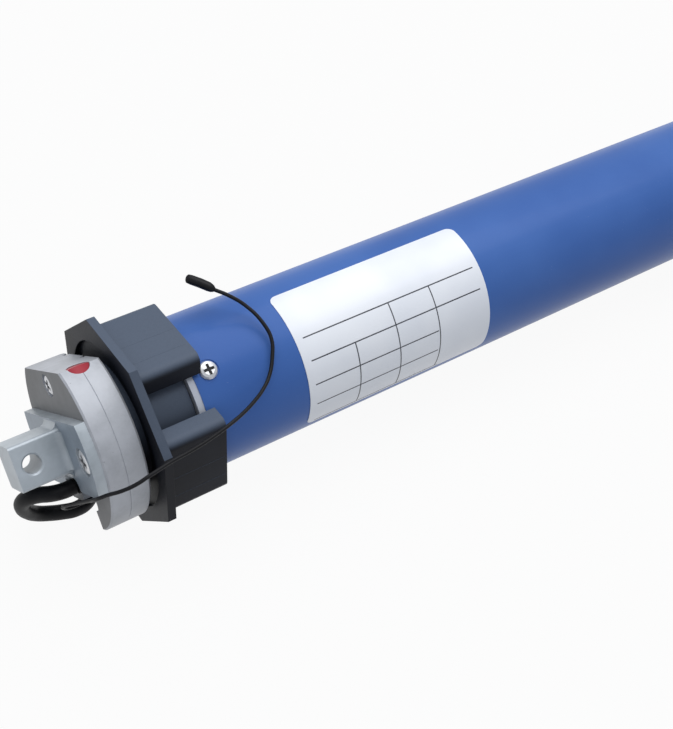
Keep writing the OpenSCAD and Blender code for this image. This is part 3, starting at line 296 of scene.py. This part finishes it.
class Finish:
    def __init__(self, name):
        self.material = bpy.data.materials.new(name)
        self.material.use_nodes = True
        self.tree = self.material.node_tree
        self.shader = self.tree.nodes["Principled BSDF"]
        self.place = self.node("ShaderNodeTexCoord", out="Object")

    # any node: its type, its settings, the values or links of its sockets
    def node(self, kind, settings=None, inputs=None, out=0):
        made = self.tree.nodes.new(kind)
        for key, value in (settings or {}).items():
            if key == "stops":
                for number, (at, tone) in enumerate(value):
                    ramp = made.color_ramp.elements
                    stop = ramp[number] if number < 2 else ramp.new(at)
                    stop.position, stop.color = at, (*tone, 1)
            else:
                setattr(made, key, value)
        for key, value in (inputs or {}).items():
            if isinstance(value, Link):
                self.tree.links.new(value.socket, made.inputs[key])
            else:
                made.inputs[key].default_value = value
        return Link(self.tree, made.outputs[out])

    def noise(self, scale, detail=2, stretch=None, lumps=0.5):
        where = self.place
        if stretch:
            where = self.node("ShaderNodeVectorMath", {"operation": "MULTIPLY"}, {0: where, 1: stretch})
        inputs = {"Vector": where, "Scale": scale, "Detail": detail, "Roughness": lumps}
        return self.node("ShaderNodeTexNoise", {}, inputs)

    def height(self):
        return self.node("ShaderNodeSeparateXYZ", {}, {0: self.place}, out=2)

    # 0 below low, 1 above high
    def between(self, value, low, high):
        return self.node("ShaderNodeMapRange", {"interpolation_type": "SMOOTHSTEP"}, {0: value, 1: low, 2: high})

    # 1 on faces that look up, 0 on those that look down
    def upward(self, low, high):
        turned = self.node("ShaderNodeTexCoord", out="Normal")
        return self.between(self.node("ShaderNodeSeparateXYZ", {}, {0: turned}, out=2), low, high)

    def tint(self, share, first, second):
        first, second = [c if isinstance(c, Link) else (*c, 1) for c in (first, second)]
        return self.node("ShaderNodeMix", {"data_type": "RGBA"}, {0: share, 6: first, 7: second}, out=2)

    def bump(self, height, depth, strength):
        return self.node("ShaderNodeBump", {}, {"Height": height, "Distance": depth, "Strength": strength})

    def set(self, **values):
        for key, value in values.items():
            name = socketNames[key]
            if isinstance(value, Link):
                self.tree.links.new(value.socket, self.shader.inputs[name])
            elif key == "color":
                self.shader.inputs[name].default_value = (*value, 1)
            else:
                self.shader.inputs[name].default_value = value
        return self


# a colour as it looks, 0 to 255, in the linear values that the shader takes
def tone(red, green, blue):
    parts = (red / 255, green / 255, blue / 255)
    return tuple((c / 12.92 if c <= 0.04045 else ((c + 0.055) / 1.055) ** 2.4) for c in parts)


# painted tube: deep blue gloss with a faint orange peel
paintSpec = {
    "deep": (60, 96, 162), "light": (70, 107, 173), "speck": (150, 160, 190), "glossTint": (0.45, 0.55, 1.0),
    "cloud": 14, "speckGrain": 1600, "peel": 260, "peelDepth": 0.00004, "rough": 0.33,
}


def tubePaint():
    finish = Finish("tubePaint")
    spec = paintSpec
    cloud = finish.noise(spec["cloud"], 3)
    specks = finish.between(finish.noise(spec["speckGrain"], 1), 0.74, 0.8)
    colour = finish.tint(finish.between(cloud, 0.35, 0.7), tone(*spec["deep"]), tone(*spec["light"]))
    colour = finish.tint(specks * 0.18, colour, tone(*spec["speck"]))
    rough = spec["rough"] + cloud * 0.08 + specks * 0.2
    orangePeel = finish.bump(finish.noise(spec["peel"], 2), spec["peelDepth"], 0.35)
    finish.shader.inputs["Specular Tint"].default_value = (*spec["glossTint"], 1)
    finish.set(color=colour, roughness=rough, normal=orangePeel, coat=0.04, coatRoughness=0.1, specular=0.24)
    return finish.material


# cast and machined metals: broad shade, fine grain, small dark pits
def castMetal(name, spec):
    finish = Finish(name)
    broad = finish.noise(60, 4, lumps=0.6)
    grain = finish.noise(spec.get("grain", 1500), 3, spec.get("stretch"))
    pitFrom = spec.get("pitFrom", 0.69)
    pits = finish.between(finish.noise(900, 2), pitFrom, pitFrom + 0.06)
    colour = finish.tint(finish.between(broad, 0.3, 0.72), tone(*spec["dark"]), tone(*spec["light"]))
    colour = finish.tint(finish.between(grain, 0.3, 0.8) * 0.25, colour, tone(*spec["light"]))
    colour = finish.tint(pits * 0.55, colour, tone(*[0.5 * c for c in spec["dark"]]))
    rough = spec["rough"] + broad * spec.get("roughSwing", 0.12) + pits * 0.15
    surface = finish.bump(grain * 0.6 - pits * 0.8, spec["depth"], 0.6)
    metallic, specular = spec.get("metallic", 0.85), spec.get("specular", 0.5)
    return finish.set(color=colour, metallic=metallic, roughness=rough, normal=surface, specular=specular).material


# moulded plastics and rubbers: fine grain, scuffs, and, where the spec names one, a paler tone on upward faces that
# is mostly painted sheen of the light from above, with a little dust
def mouldedPlastic(name, spec):
    finish = Finish(name)
    broad = finish.noise(spec.get("broad", 45), 3)
    fine = finish.noise(spec.get("grain", 1800), 2)
    scuff = finish.between(finish.noise(260, 4, (0.25, 1, 1), 0.7), 0.62, 0.78)
    scuffTone = spec.get("scuffTone", [min(255, 1.5 * c + 12) for c in spec["light"]])
    colour = finish.tint(finish.between(broad, 0.3, 0.7), tone(*spec["dark"]), tone(*spec["light"]))
    colour = finish.tint(scuff * spec.get("scuffShare", 0.25), colour, tone(*scuffTone))
    if "sheenAndDust" in spec:
        # painted sheen: faces that look up are paler, as if lit from above, with a little dust
        colour = finish.tint(finish.upward(0.1, 0.95) * (0.86 + fine * 0.2), colour, tone(*spec["sheenAndDust"]))
    rough = spec["rough"] + fine * 0.12 + scuff * 0.1
    surface = finish.bump(fine, spec.get("depth", 0.00002), 0.5)
    coat, specular = spec.get("coat", 0.0), spec.get("specular", 0.5)
    finish.set(color=colour, roughness=rough, normal=surface, specular=specular, coat=coat, coatRoughness=0.15)
    return finish.material


# rating label: satin film with a soft print grain
def labelFilm():
    finish = Finish("labelFilm")
    cloud = finish.noise(30, 3)
    grain = finish.noise(2400, 2)
    colour = finish.tint(finish.between(cloud, 0.35, 0.68), tone(224, 228, 236), tone(233, 236, 242))
    film = finish.bump(grain, 0.00001, 0.3)
    return finish.set(color=colour, roughness=0.3 + grain * 0.12, normal=film, coat=0.25, coatRoughness=0.2).material


# copper wire wound side by side, and thin iron sheets stacked along the motor
def woundCopper():
    finish = Finish("woundCopper")
    inputs = {"Vector": finish.place, "Scale": 330, "Distortion": 0.6, "Detail": 1}
    rows = finish.node("ShaderNodeTexWave", {"bands_direction": "X"}, inputs)
    colour = finish.tint(rows, tone(120, 58, 30), tone(206, 122, 72))
    wires = finish.bump(rows, 0.0003, 0.6)
    return finish.set(color=colour, metallic=0.8, roughness=0.28 + rows * 0.12, normal=wires).material


def ironSheets():
    finish = Finish("ironSheets")
    settings = {"bands_direction": "X", "wave_profile": "SAW"}
    sheets = finish.node("ShaderNodeTexWave", settings, {"Vector": finish.place, "Scale": 310, "Distortion": 0.1})
    colour = finish.tint(sheets, tone(104, 107, 112), tone(150, 153, 158))
    edges = finish.bump(sheets, 0.0001, 0.5)
    return finish.set(color=colour, metallic=0.85, roughness=0.4 + sheets * 0.15, normal=edges).material


# circuit board: green mask with the faint lines of its tracks
def circuitBoard():
    finish = Finish("circuitBoard")
    inputs = {"Vector": finish.place, "Scale": 260}
    tracks = finish.node("ShaderNodeTexVoronoi", {"feature": "DISTANCE_TO_EDGE"}, inputs)
    mask = finish.between(tracks, 0.03, 0.06)
    colour = finish.tint(mask, tone(46, 122, 76), tone(22, 84, 50))
    copper = finish.bump(mask, 0.00004, 0.5)
    return finish.set(color=colour, roughness=0.35 + mask * 0.1, normal=copper, coat=0.3).material


# earth core: yellow with a green stripe along it
def stripedCore():
    finish = Finish("stripedCore")
    level = (motor["axisHeight"] + cableEnd[2]) / 1000
    stripe = finish.between(finish.height(), level - 0.0016, level - 0.0013)
    grain = finish.noise(900, 2)
    colour = finish.tint(stripe, tone(48, 130, 62), tone(226, 204, 60))
    return finish.set(color=colour, roughness=0.4 + grain * 0.1, normal=finish.bump(grain, 0.00001, 0.4)).material


metalSpec = {
    "headMetal": {
        "dark": (158, 161, 167), "light": (184, 187, 194), "rough": 0.4, "depth": 0.00003, "grain": 1300,
        "pitFrom": 0.76, "metallic": 0.12, "specular": 0.4, "roughSwing": 0.08,
    },
    # painted shade: a darker copy of the head metal, as it looks in shade
    "coverMetalShaded": {
        "dark": (112, 113, 117), "light": (138, 138, 141), "rough": 0.46, "depth": 0.00005, "grain": 1100,
        "metallic": 0.6,
    },
    # painted shade: the head cover's front face, darker than its rim, partly an as-cast finish
    "coverFaceShaded": {
        "dark": (104, 105, 107), "light": (124, 125, 127), "rough": 0.5, "depth": 0.00005, "grain": 1000,
        "pitFrom": 0.78, "metallic": 0.3,
    },
    # painted shade: the bracket plate's front face, darker than its rim, partly an as-cast finish
    "plateFaceShaded": {
        "dark": (126, 137, 149), "light": (150, 162, 174), "rough": 0.36, "depth": 0.00003, "grain": 900,
        "pitFrom": 0.78, "metallic": 0.25,
    },
    "pinMetal": {
        "dark": (156, 164, 170), "light": (184, 192, 199), "rough": 0.32, "depth": 0.00004, "grain": 900,
        "stretch": (0.12, 1, 1), "pitFrom": 0.76, "metallic": 0.25,
    },
    "zincSteel": {
        "dark": (204, 205, 208), "light": (226, 227, 229), "rough": 0.34, "depth": 0.00002, "grain": 1800,
        "metallic": 0.7, "pitFrom": 0.8,
    },
    "gearSteel": {
        "dark": (128, 131, 136), "light": (166, 169, 174), "rough": 0.28, "depth": 0.00003, "grain": 1400,
        "metallic": 0.95,
    },
    "planetMetal": {
        "dark": (150, 142, 124), "light": (184, 176, 156), "rough": 0.34, "depth": 0.00003, "metallic": 0.9,
    },
    "magnetBlack": {
        "dark": (58, 58, 62), "light": (78, 78, 82), "rough": 0.4, "depth": 0.00002, "metallic": 0.5,
    },
}
plasticSpec = {
    "labelInk": {"dark": (58, 60, 68), "light": (74, 76, 84), "rough": 0.4},
    "recessShade": {"dark": (14, 14, 16), "light": (24, 24, 27), "rough": 0.6, "scuffShare": 0.05},
    "collarPlastic": {"dark": (166, 171, 182), "light": (183, 188, 199), "rough": 0.42, "scuffShare": 0.1},
    # the crown's paler tone on upward faces is mostly painted sheen of the light from above, with a little dust
    "crownPlastic": {
        "dark": (19, 21, 28), "light": (27, 30, 39), "rough": 0.42, "scuffTone": (66, 72, 84),
        "scuffShare": 0.14, "depth": 0.00003, "specular": 0.14, "sheenAndDust": (84, 94, 110),
    },
    "housingPlastic": {"dark": (34, 35, 38), "light": (48, 49, 53), "rough": 0.45},
    "switchPlastic": {"dark": (38, 38, 42), "light": (52, 52, 57), "rough": 0.4},
    "buttonPlastic": {
        "dark": (146, 26, 42), "light": (164, 37, 53), "rough": 0.36, "scuffTone": (190, 104, 114), "coat": 0.1,
    },
    "glandRubber": {"dark": (26, 26, 28), "light": (38, 38, 40), "rough": 0.6, "depth": 0.00003},
    "cableJacket": {
        "dark": (15, 15, 18), "light": (25, 25, 29), "rough": 0.42, "broad": 70, "specular": 0.22,
        "scuffTone": (60, 60, 67), "scuffShare": 0.16,
    },
    "tieNylon": {"dark": (22, 22, 24), "light": (34, 34, 37), "rough": 0.34},
    "coreBrown": {"dark": (98, 58, 36), "light": (118, 72, 46), "rough": 0.4},
    "coreBlue": {"dark": (44, 92, 168), "light": (58, 108, 186), "rough": 0.4},
    "pinionPlastic": {"dark": (214, 210, 196), "light": (230, 227, 215), "rough": 0.42},
    "capacitorCase": {"dark": (206, 207, 209), "light": (224, 225, 227), "rough": 0.38},
    "brakeFibre": {"dark": (92, 78, 62), "light": (128, 110, 88), "rough": 0.75, "grain": 700, "depth": 0.0001},
    "sealRubber": {"dark": (30, 30, 32), "light": (44, 44, 46), "rough": 0.55},
    "wheelPlastic": {
        "dark": (38, 41, 44), "light": (52, 56, 59), "rough": 0.46, "scuffTone": (90, 95, 99), "depth": 0.00003,
    },
}
finishes = {
    "tubePaint": tubePaint(),
    "labelFilm": labelFilm(),
    "coreEarth": stripedCore(),
    "woundCopper": woundCopper(),
    "ironSheets": ironSheets(),
    "circuitBoard": circuitBoard(),
}
finishes.update({name: castMetal(name, spec) for name, spec in metalSpec.items()})
finishes.update({name: mouldedPlastic(name, spec) for name, spec in plasticSpec.items()})
print("finishes mixed:", len(finishes))

# which finish each solid wears
wearing = {
    "tubePaint": ["motor_tube"],
    "zincSteel": [
        "tube_screws", "bracket_screws", "cover_screw", "neck_screws", "button_spring", "wheel_washer",
        "wheel_screw", "rotor_bearings", "output_bearings", "retaining_ring", "brake_spring",
    ],
    "gearSteel": [
        "rotor_shaft", "rotor_core", "ring_gear_1", "ring_gear_2", "ring_gear_3", "carrier_1", "carrier_2",
        "output_shaft", "brake_armature",
    ],
    "planetMetal": ["planet_%d%s" % (stage, letter) for stage in (1, 2, 3) for letter in "abc"],
    "headMetal": ["head_body", "front_end_shield", "rear_end_shield"],
    "coverMetalShaded": ["head_cover", "output_housing"],
    "pinMetal": ["pin_bracket"],
    "crownPlastic": ["crown_wheel"],
    "collarPlastic": ["limit_housing"],
    "housingPlastic": ["electronics_tray"],
    "switchPlastic": ["button_switch"],
    "buttonPlastic": ["set_button"],
    "glandRubber": ["cable_gland"],
    "tieNylon": ["cable_tie"],
    "pinionPlastic": ["limit_pinion"],
    "magnetBlack": ["encoder_magnet"],
    "capacitorCase": ["run_capacitor"],
    "brakeFibre": ["brake_lining"],
    "sealRubber": ["output_seal"],
    "wheelPlastic": ["drive_wheel"],
    "woundCopper": ["stator_windings"],
    "ironSheets": ["stator_core"],
    "circuitBoard": ["encoder_board", "receiver_board"],
    "labelFilm": ["rating_label"],
    "cableJacket": ["mains_cable", "cable_hank", "antenna_wire", "antenna_sleeve"],
    "coreBrown": ["cable_cores"],
}


def paint(piece, name):
    piece.data.materials.clear()
    piece.data.materials.append(finishes[name])


for name, worn in wearing.items():
    for node in worn:
        for place in solids[node].material_slots:
            place.material = finishes[name]
for piece in (mainsLead, antenna, antennaSleeve):
    paint(piece, "cableJacket")
for piece, name in zip(cores, coreSpec["names"]):
    paint(piece, name)
for piece in coreTips:
    paint(piece, "woundCopper")


# a copy of a solid with its sharp edges rounded over
def roundedOver(name, node, finish, width, body, angle=32):
    build = bmesh.new()
    build.from_mesh(solids[node].data)
    bmesh.ops.remove_doubles(build, verts=build.verts, dist=0.000004)
    bmesh.ops.dissolve_limit(build, angle_limit=math.radians(0.8), verts=build.verts, edges=build.edges)
    mesh = bpy.data.meshes.new(name)
    build.to_mesh(mesh)
    build.free()
    for extra in [a.name for a in mesh.attributes if "normal" in a.name.lower() and not a.is_required]:
        mesh.attributes.remove(mesh.attributes[extra])
    for face in mesh.polygons:
        face.use_smooth = True
    mesh.materials.clear()
    mesh.materials.append(finishes[finish])
    piece = newPiece(name, mesh, body)
    edges = piece.modifiers.new("edges", "BEVEL")
    edges.width = width / 1000
    edges.segments = 3
    edges.limit_method = "ANGLE"
    edges.angle_limit = math.radians(angle)
    edges.use_clamp_overlap = True
    edges.harden_normals = True
    mesh.set_sharp_from_angle(angle=math.radians(angle))
    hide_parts(node)
    return piece


# rating label: a thin film bent round the tube, with round corners, and the ruled lines of its table
labelSpec = {
    "start": 38.4, "length": 80.3, "from": 88, "arc": 115, "under": 27.53, "over": 27.7, "corner": 3.0,
    "line": 0.45, "lineOver": 27.72,
    "along": [
        (127.5, 41.5, 115.9), (144.8, 41.5, 115.9), (163, 41.1, 94.7), (180.3, 41.3, 94.4), (200.6, 41.5, 96.5),
    ],
    "across": [(59.7, 145, 200.6), (77.3, 127.5, 200.6), (95.3, 127.5, 200.6)],
}


def labelSheet():
    spec = labelSpec
    wide = math.radians(spec["arc"]) * spec["over"]
    ends = [spec["corner"] * (1 - math.cos(math.pi * k / 16)) for k in range(9)]
    between = [spec["corner"] + (wide - 2 * spec["corner"]) * k / 60 for k in range(1, 60)]
    rows = ends + between + [wide - d for d in reversed(ends)]
    build = bmesh.new()
    tops, lows = [], []
    for travel in rows:
        near = max(0, spec["corner"] - min(travel, wide - travel))
        inset = spec["corner"] - math.sqrt(max(0, spec["corner"] ** 2 - near ** 2))
        angle = spec["from"] + math.degrees(travel / spec["over"])
        xs = [spec["start"] + inset + (spec["length"] - 2 * inset) * k / 24 for k in range(25)]
        tops.append([build.verts.new(around(x, spec["over"], angle)) for x in xs])
        lows.append([build.verts.new(around(x, spec["under"], angle)) for x in (xs[0], xs[-1])])
    for first, second in zip(tops, tops[1:]):
        for k in range(24):
            build.faces.new((first[k], first[k + 1], second[k + 1], second[k]))
    for k in range(len(rows) - 1):
        build.faces.new((tops[k][0], tops[k + 1][0], lows[k + 1][0], lows[k][0]))
        build.faces.new((tops[k][-1], lows[k][1], lows[k + 1][1], tops[k + 1][-1]))
    build.faces.new([*tops[0], lows[0][1], lows[0][0]][::-1])
    build.faces.new([*tops[-1], lows[-1][1], lows[-1][0]])
    bmesh.ops.recalc_face_normals(build, faces=build.faces)
    mesh = bpy.data.meshes.new("ratingFilm")
    build.to_mesh(mesh)
    build.free()
    for face in mesh.polygons:
        face.use_smooth = True
    mesh.set_sharp_from_angle(angle=math.radians(40))
    return mesh


def ruledLines():
    spec = labelSpec
    build = bmesh.new()

    # a strip of ink from one corner to the other, following the tube
    def strip(x0, x1, a0, a1):
        steps = max(1, math.ceil(abs(a1 - a0) / 2))
        angles = [a0 + (a1 - a0) * k / steps for k in range(steps + 1)]
        edges = [[build.verts.new(around(x, spec["lineOver"], angle)) for x in (x0, x1)] for angle in angles]
        for one, two in zip(edges, edges[1:]):
            build.faces.new((one[0], one[1], two[1], two[0]))

    half = spec["line"] / 2
    turn = math.degrees(half / spec["lineOver"])
    for angle, x0, x1 in spec["along"]:
        strip(x0, x1, angle - turn, angle + turn)
    for x, a0, a1 in spec["across"]:
        strip(x - half, x + half, a0, a1)
    bmesh.ops.recalc_face_normals(build, faces=build.faces)
    mesh = bpy.data.meshes.new("labelLines")
    build.to_mesh(mesh)
    build.free()
    return mesh


ratingFilm = newPiece("ratingFilm", labelSheet())
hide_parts("rating_label")
paint(ratingFilm, "labelFilm")
labelLines = newPiece("labelLines", ruledLines())
paint(labelLines, "labelInk")
print("label laid")

# painted shade: dark plugs in the cross recesses of the screw heads, where shade falls
crossSpec = {"reach": 0.294, "half": 0.078, "floor": 0.4, "fill": 0.36}


def shadedCrossFloors(name, screws):
    build = bmesh.new()
    for seat, outward, arm, width, height in screws:
        outward, arm = outward.normalized(), arm.normalized()
        other = outward.cross(arm)
        a, b = crossSpec["reach"] * width / 1000, crossSpec["half"] * width / 1000
        outline = [
            (a, -b), (a, b), (b, b), (b, a), (-b, a), (-b, b),
            (-a, b), (-a, -b), (-b, -b), (-b, -a), (b, -a), (b, -b),
        ]
        loops = []
        for level in (crossSpec["floor"] + 0.02, crossSpec["floor"] + crossSpec["fill"]):
            base = seat + outward * level * height / 1000
            loops.append([build.verts.new(base + arm * u + other * v) for u, v in outline])
        for k in range(12):
            m = (k + 1) % 12
            build.faces.new((loops[0][k], loops[0][m], loops[1][m], loops[1][k]))
        build.faces.new(loops[0][::-1])
        build.faces.new(loops[1])
    bmesh.ops.recalc_face_normals(build, faces=build.faces)
    mesh = bpy.data.meshes.new(name)
    build.to_mesh(mesh)
    build.free()
    piece = newPiece(name, mesh)
    paint(piece, "recessShade")


tubeHead = {"radius": 27.1, "width": 6.4, "height": 1.5}
tubeHeadPlaces = [(5.9, 122.7 + 120 * k) for k in range(3)] + [(518, 45 + 90 * k) for k in range(4)]
headScrews = [  # x, up, side, turn of the cross, width and height of the head
    (-39.9, -2.6, 22.7, 20, 9.5, 2.4),
    (-39.9, -2.6, -22.7, -20, 9.5, 2.4),
    (-36.88, 20.5, 0, 35, 7.6, 1.92),
]
alongTube = Vector((1, 0, 0))
tubeCrosses = []
for x, turn in tubeHeadPlaces:
    seat = around(x, tubeHead["radius"], turn)
    tubeCrosses.append((seat, seat - around(x, 0, turn), alongTube, tubeHead["width"], tubeHead["height"]))
headCrosses = []
for x, up, side, spin, width, height in headScrews:
    turn = math.radians(motor["roll"] + spin)
    arm = Vector((0, math.cos(turn), math.sin(turn)))
    headCrosses.append((headSpot(x, up, side), -alongTube, arm, width, height))
shadedCrossFloors("screwRecessShade", tubeCrosses + headCrosses)
print("screw recesses shaded")

# fine lines that the mould leaves on the crown's fingers
mouldSpec = {
    "from": -18.5, "to": 1.6, "level": 32.0, "sides": (0.0, 8.5),
    "shape": [(-0.22, -0.05), (-0.08, 0.05), (0.08, 0.05), (0.22, -0.05)],
}


def mouldLines():
    spec = mouldSpec
    build = bmesh.new()
    for k in range(4):
        turn = math.radians(90 * k)
        out = Vector((0, math.cos(turn), math.sin(turn)))
        side = Vector((0, -math.sin(turn), math.cos(turn)))
        for at in spec["sides"]:
            loops = []
            for x in (spec["from"], spec["to"]):
                base = spot(x, 0, 0) + side * at / 1000
                loops.append([
                    build.verts.new(base + side * u / 1000 + out * (spec["level"] + v) / 1000)
                    for u, v in spec["shape"]
                ])
            for m in range(4):
                n = (m + 1) % 4
                build.faces.new((loops[0][m], loops[0][n], loops[1][n], loops[1][m]))
            build.faces.new(loops[0][::-1])
            build.faces.new(loops[1])
    bmesh.ops.recalc_face_normals(build, faces=build.faces)
    mesh = bpy.data.meshes.new("mouldLines")
    build.to_mesh(mesh)
    build.free()
    return mesh


crownLines = newPiece("mouldLines", mouldLines(), "crown")
paint(crownLines, "crownPlastic")

dressSpec = {
    "headBody": ("head_body", "headMetal", "cast_metal", 0.3, "motor"),
    "headCover": ("head_cover", "headMetal", "cast_dark", 0.35, "motor"),
    "pinBracket": ("pin_bracket", "pinMetal", "cast_metal", 0.45, "motor"),
    "crown": ("crown_wheel", "crownPlastic", "crown_plastic", 0.7, "crown"),
    "driveWheel": ("drive_wheel", "wheelPlastic", "wheel_plastic", 0.5, "output"),
    "setButton": ("set_button", "buttonPlastic", "button_plastic", 0.4, "button"),
    "tieBand": ("cable_tie", "tieNylon", "cable_jacket", 0.3, "motor"),
}
dressed = {}
for name, (node, finish, slotName, width, body) in dressSpec.items():
    dressed[name] = roundedOver(name, node, finish, width, body)
    print("rounded over:", name, len(dressed[name].data.polygons), "faces")

# front faces painted darker than their rims: painted shade, partly an as-cast finish
frontSpec = {"headCover": ("coverFaceShaded", -38.8), "pinBracket": ("plateFaceShaded", -42.3)}
for name, (finish, x) in frontSpec.items():
    mesh = dressed[name].data
    mesh.materials.append(finishes[finish])
    level = spot(x, 0, 0).x
    for face in mesh.polygons:
        if face.normal.x < -0.98 and abs(face.center.x - level) < 0.0001:
            face.material_index = 1

spot(*cableSpec["exit"])
cableSpec["diameter"] / 1000
spot(*antennaSpec["exit"])

# stage: a pale floor, one soft lamp from above, an even sky
floorSpec = {"half": 6.0, "tone": (0.5, 0.5, 0.5), "white": 0.94}
floorMesh = bpy.data.meshes.new("floor")
half = floorSpec["half"]
corners = [(-half, -half, 0), (half, -half, 0), (half, half, 0), (-half, half, 0)]
floorMesh.from_pydata(corners, [], [(0, 1, 2, 3)])
floor = bpy.data.objects.new("floor", floorMesh)
bpy.context.scene.collection.objects.link(floor)
floorFinish = Finish("floorPaper")
floorFinish.set(color=floorSpec["tone"], roughness=0.9, specular=0.1)
rayNames = ("Is Camera Ray", "Is Glossy Ray", "Is Transmission Ray")
rays = [floorFinish.node("ShaderNodeLightPath", out=name) for name in rayNames]
seen = rays[0] + rays[1] + rays[2]
glow = floorFinish.node("ShaderNodeEmission", {}, {"Color": (1, 1, 1, 1), "Strength": 1.0})
shaded = Link(floorFinish.tree, floorFinish.shader.outputs[0])
mixed = floorFinish.node("ShaderNodeMixShader", {}, {0: seen * floorSpec["white"], 1: shaded, 2: glow})
output = floorFinish.tree.nodes["Material Output"]
floorFinish.tree.links.new(mixed.socket, output.inputs["Surface"])
floorMesh.materials.append(floorFinish.material)

lampSpec = {"place": (0.15, 0.15, 1.7), "target": (-0.15, 0, 0.03), "size": 1.8, "power": 27.5}
lampData = bpy.data.lights.new("key", "AREA")
lampData.shape = "RECTANGLE"
lampData.size = lampData.size_y = lampSpec["size"]
lampData.energy = lampSpec["power"]
lamp = bpy.data.objects.new("key", lampData)
lamp.location = lampSpec["place"]
towards = Vector(lampSpec["target"]) - Vector(lampSpec["place"])
lamp.rotation_euler = towards.to_track_quat("-Z", "Y").to_euler()
bpy.context.scene.collection.objects.link(lamp)

skySpec = {"tone": (0.9, 0.94, 1.0, 1), "strength": 0.52}
world = bpy.data.worlds.new("studio")
bpy.context.scene.world = world
world.use_nodes = True
sky = world.node_tree.nodes["Background"]
sky.inputs["Color"].default_value = skySpec["tone"]
sky.inputs["Strength"].default_value = skySpec["strength"]
bpy.context.scene.view_settings.view_transform = "Standard"
print("stage set")

bpy.context.view_layer.update()
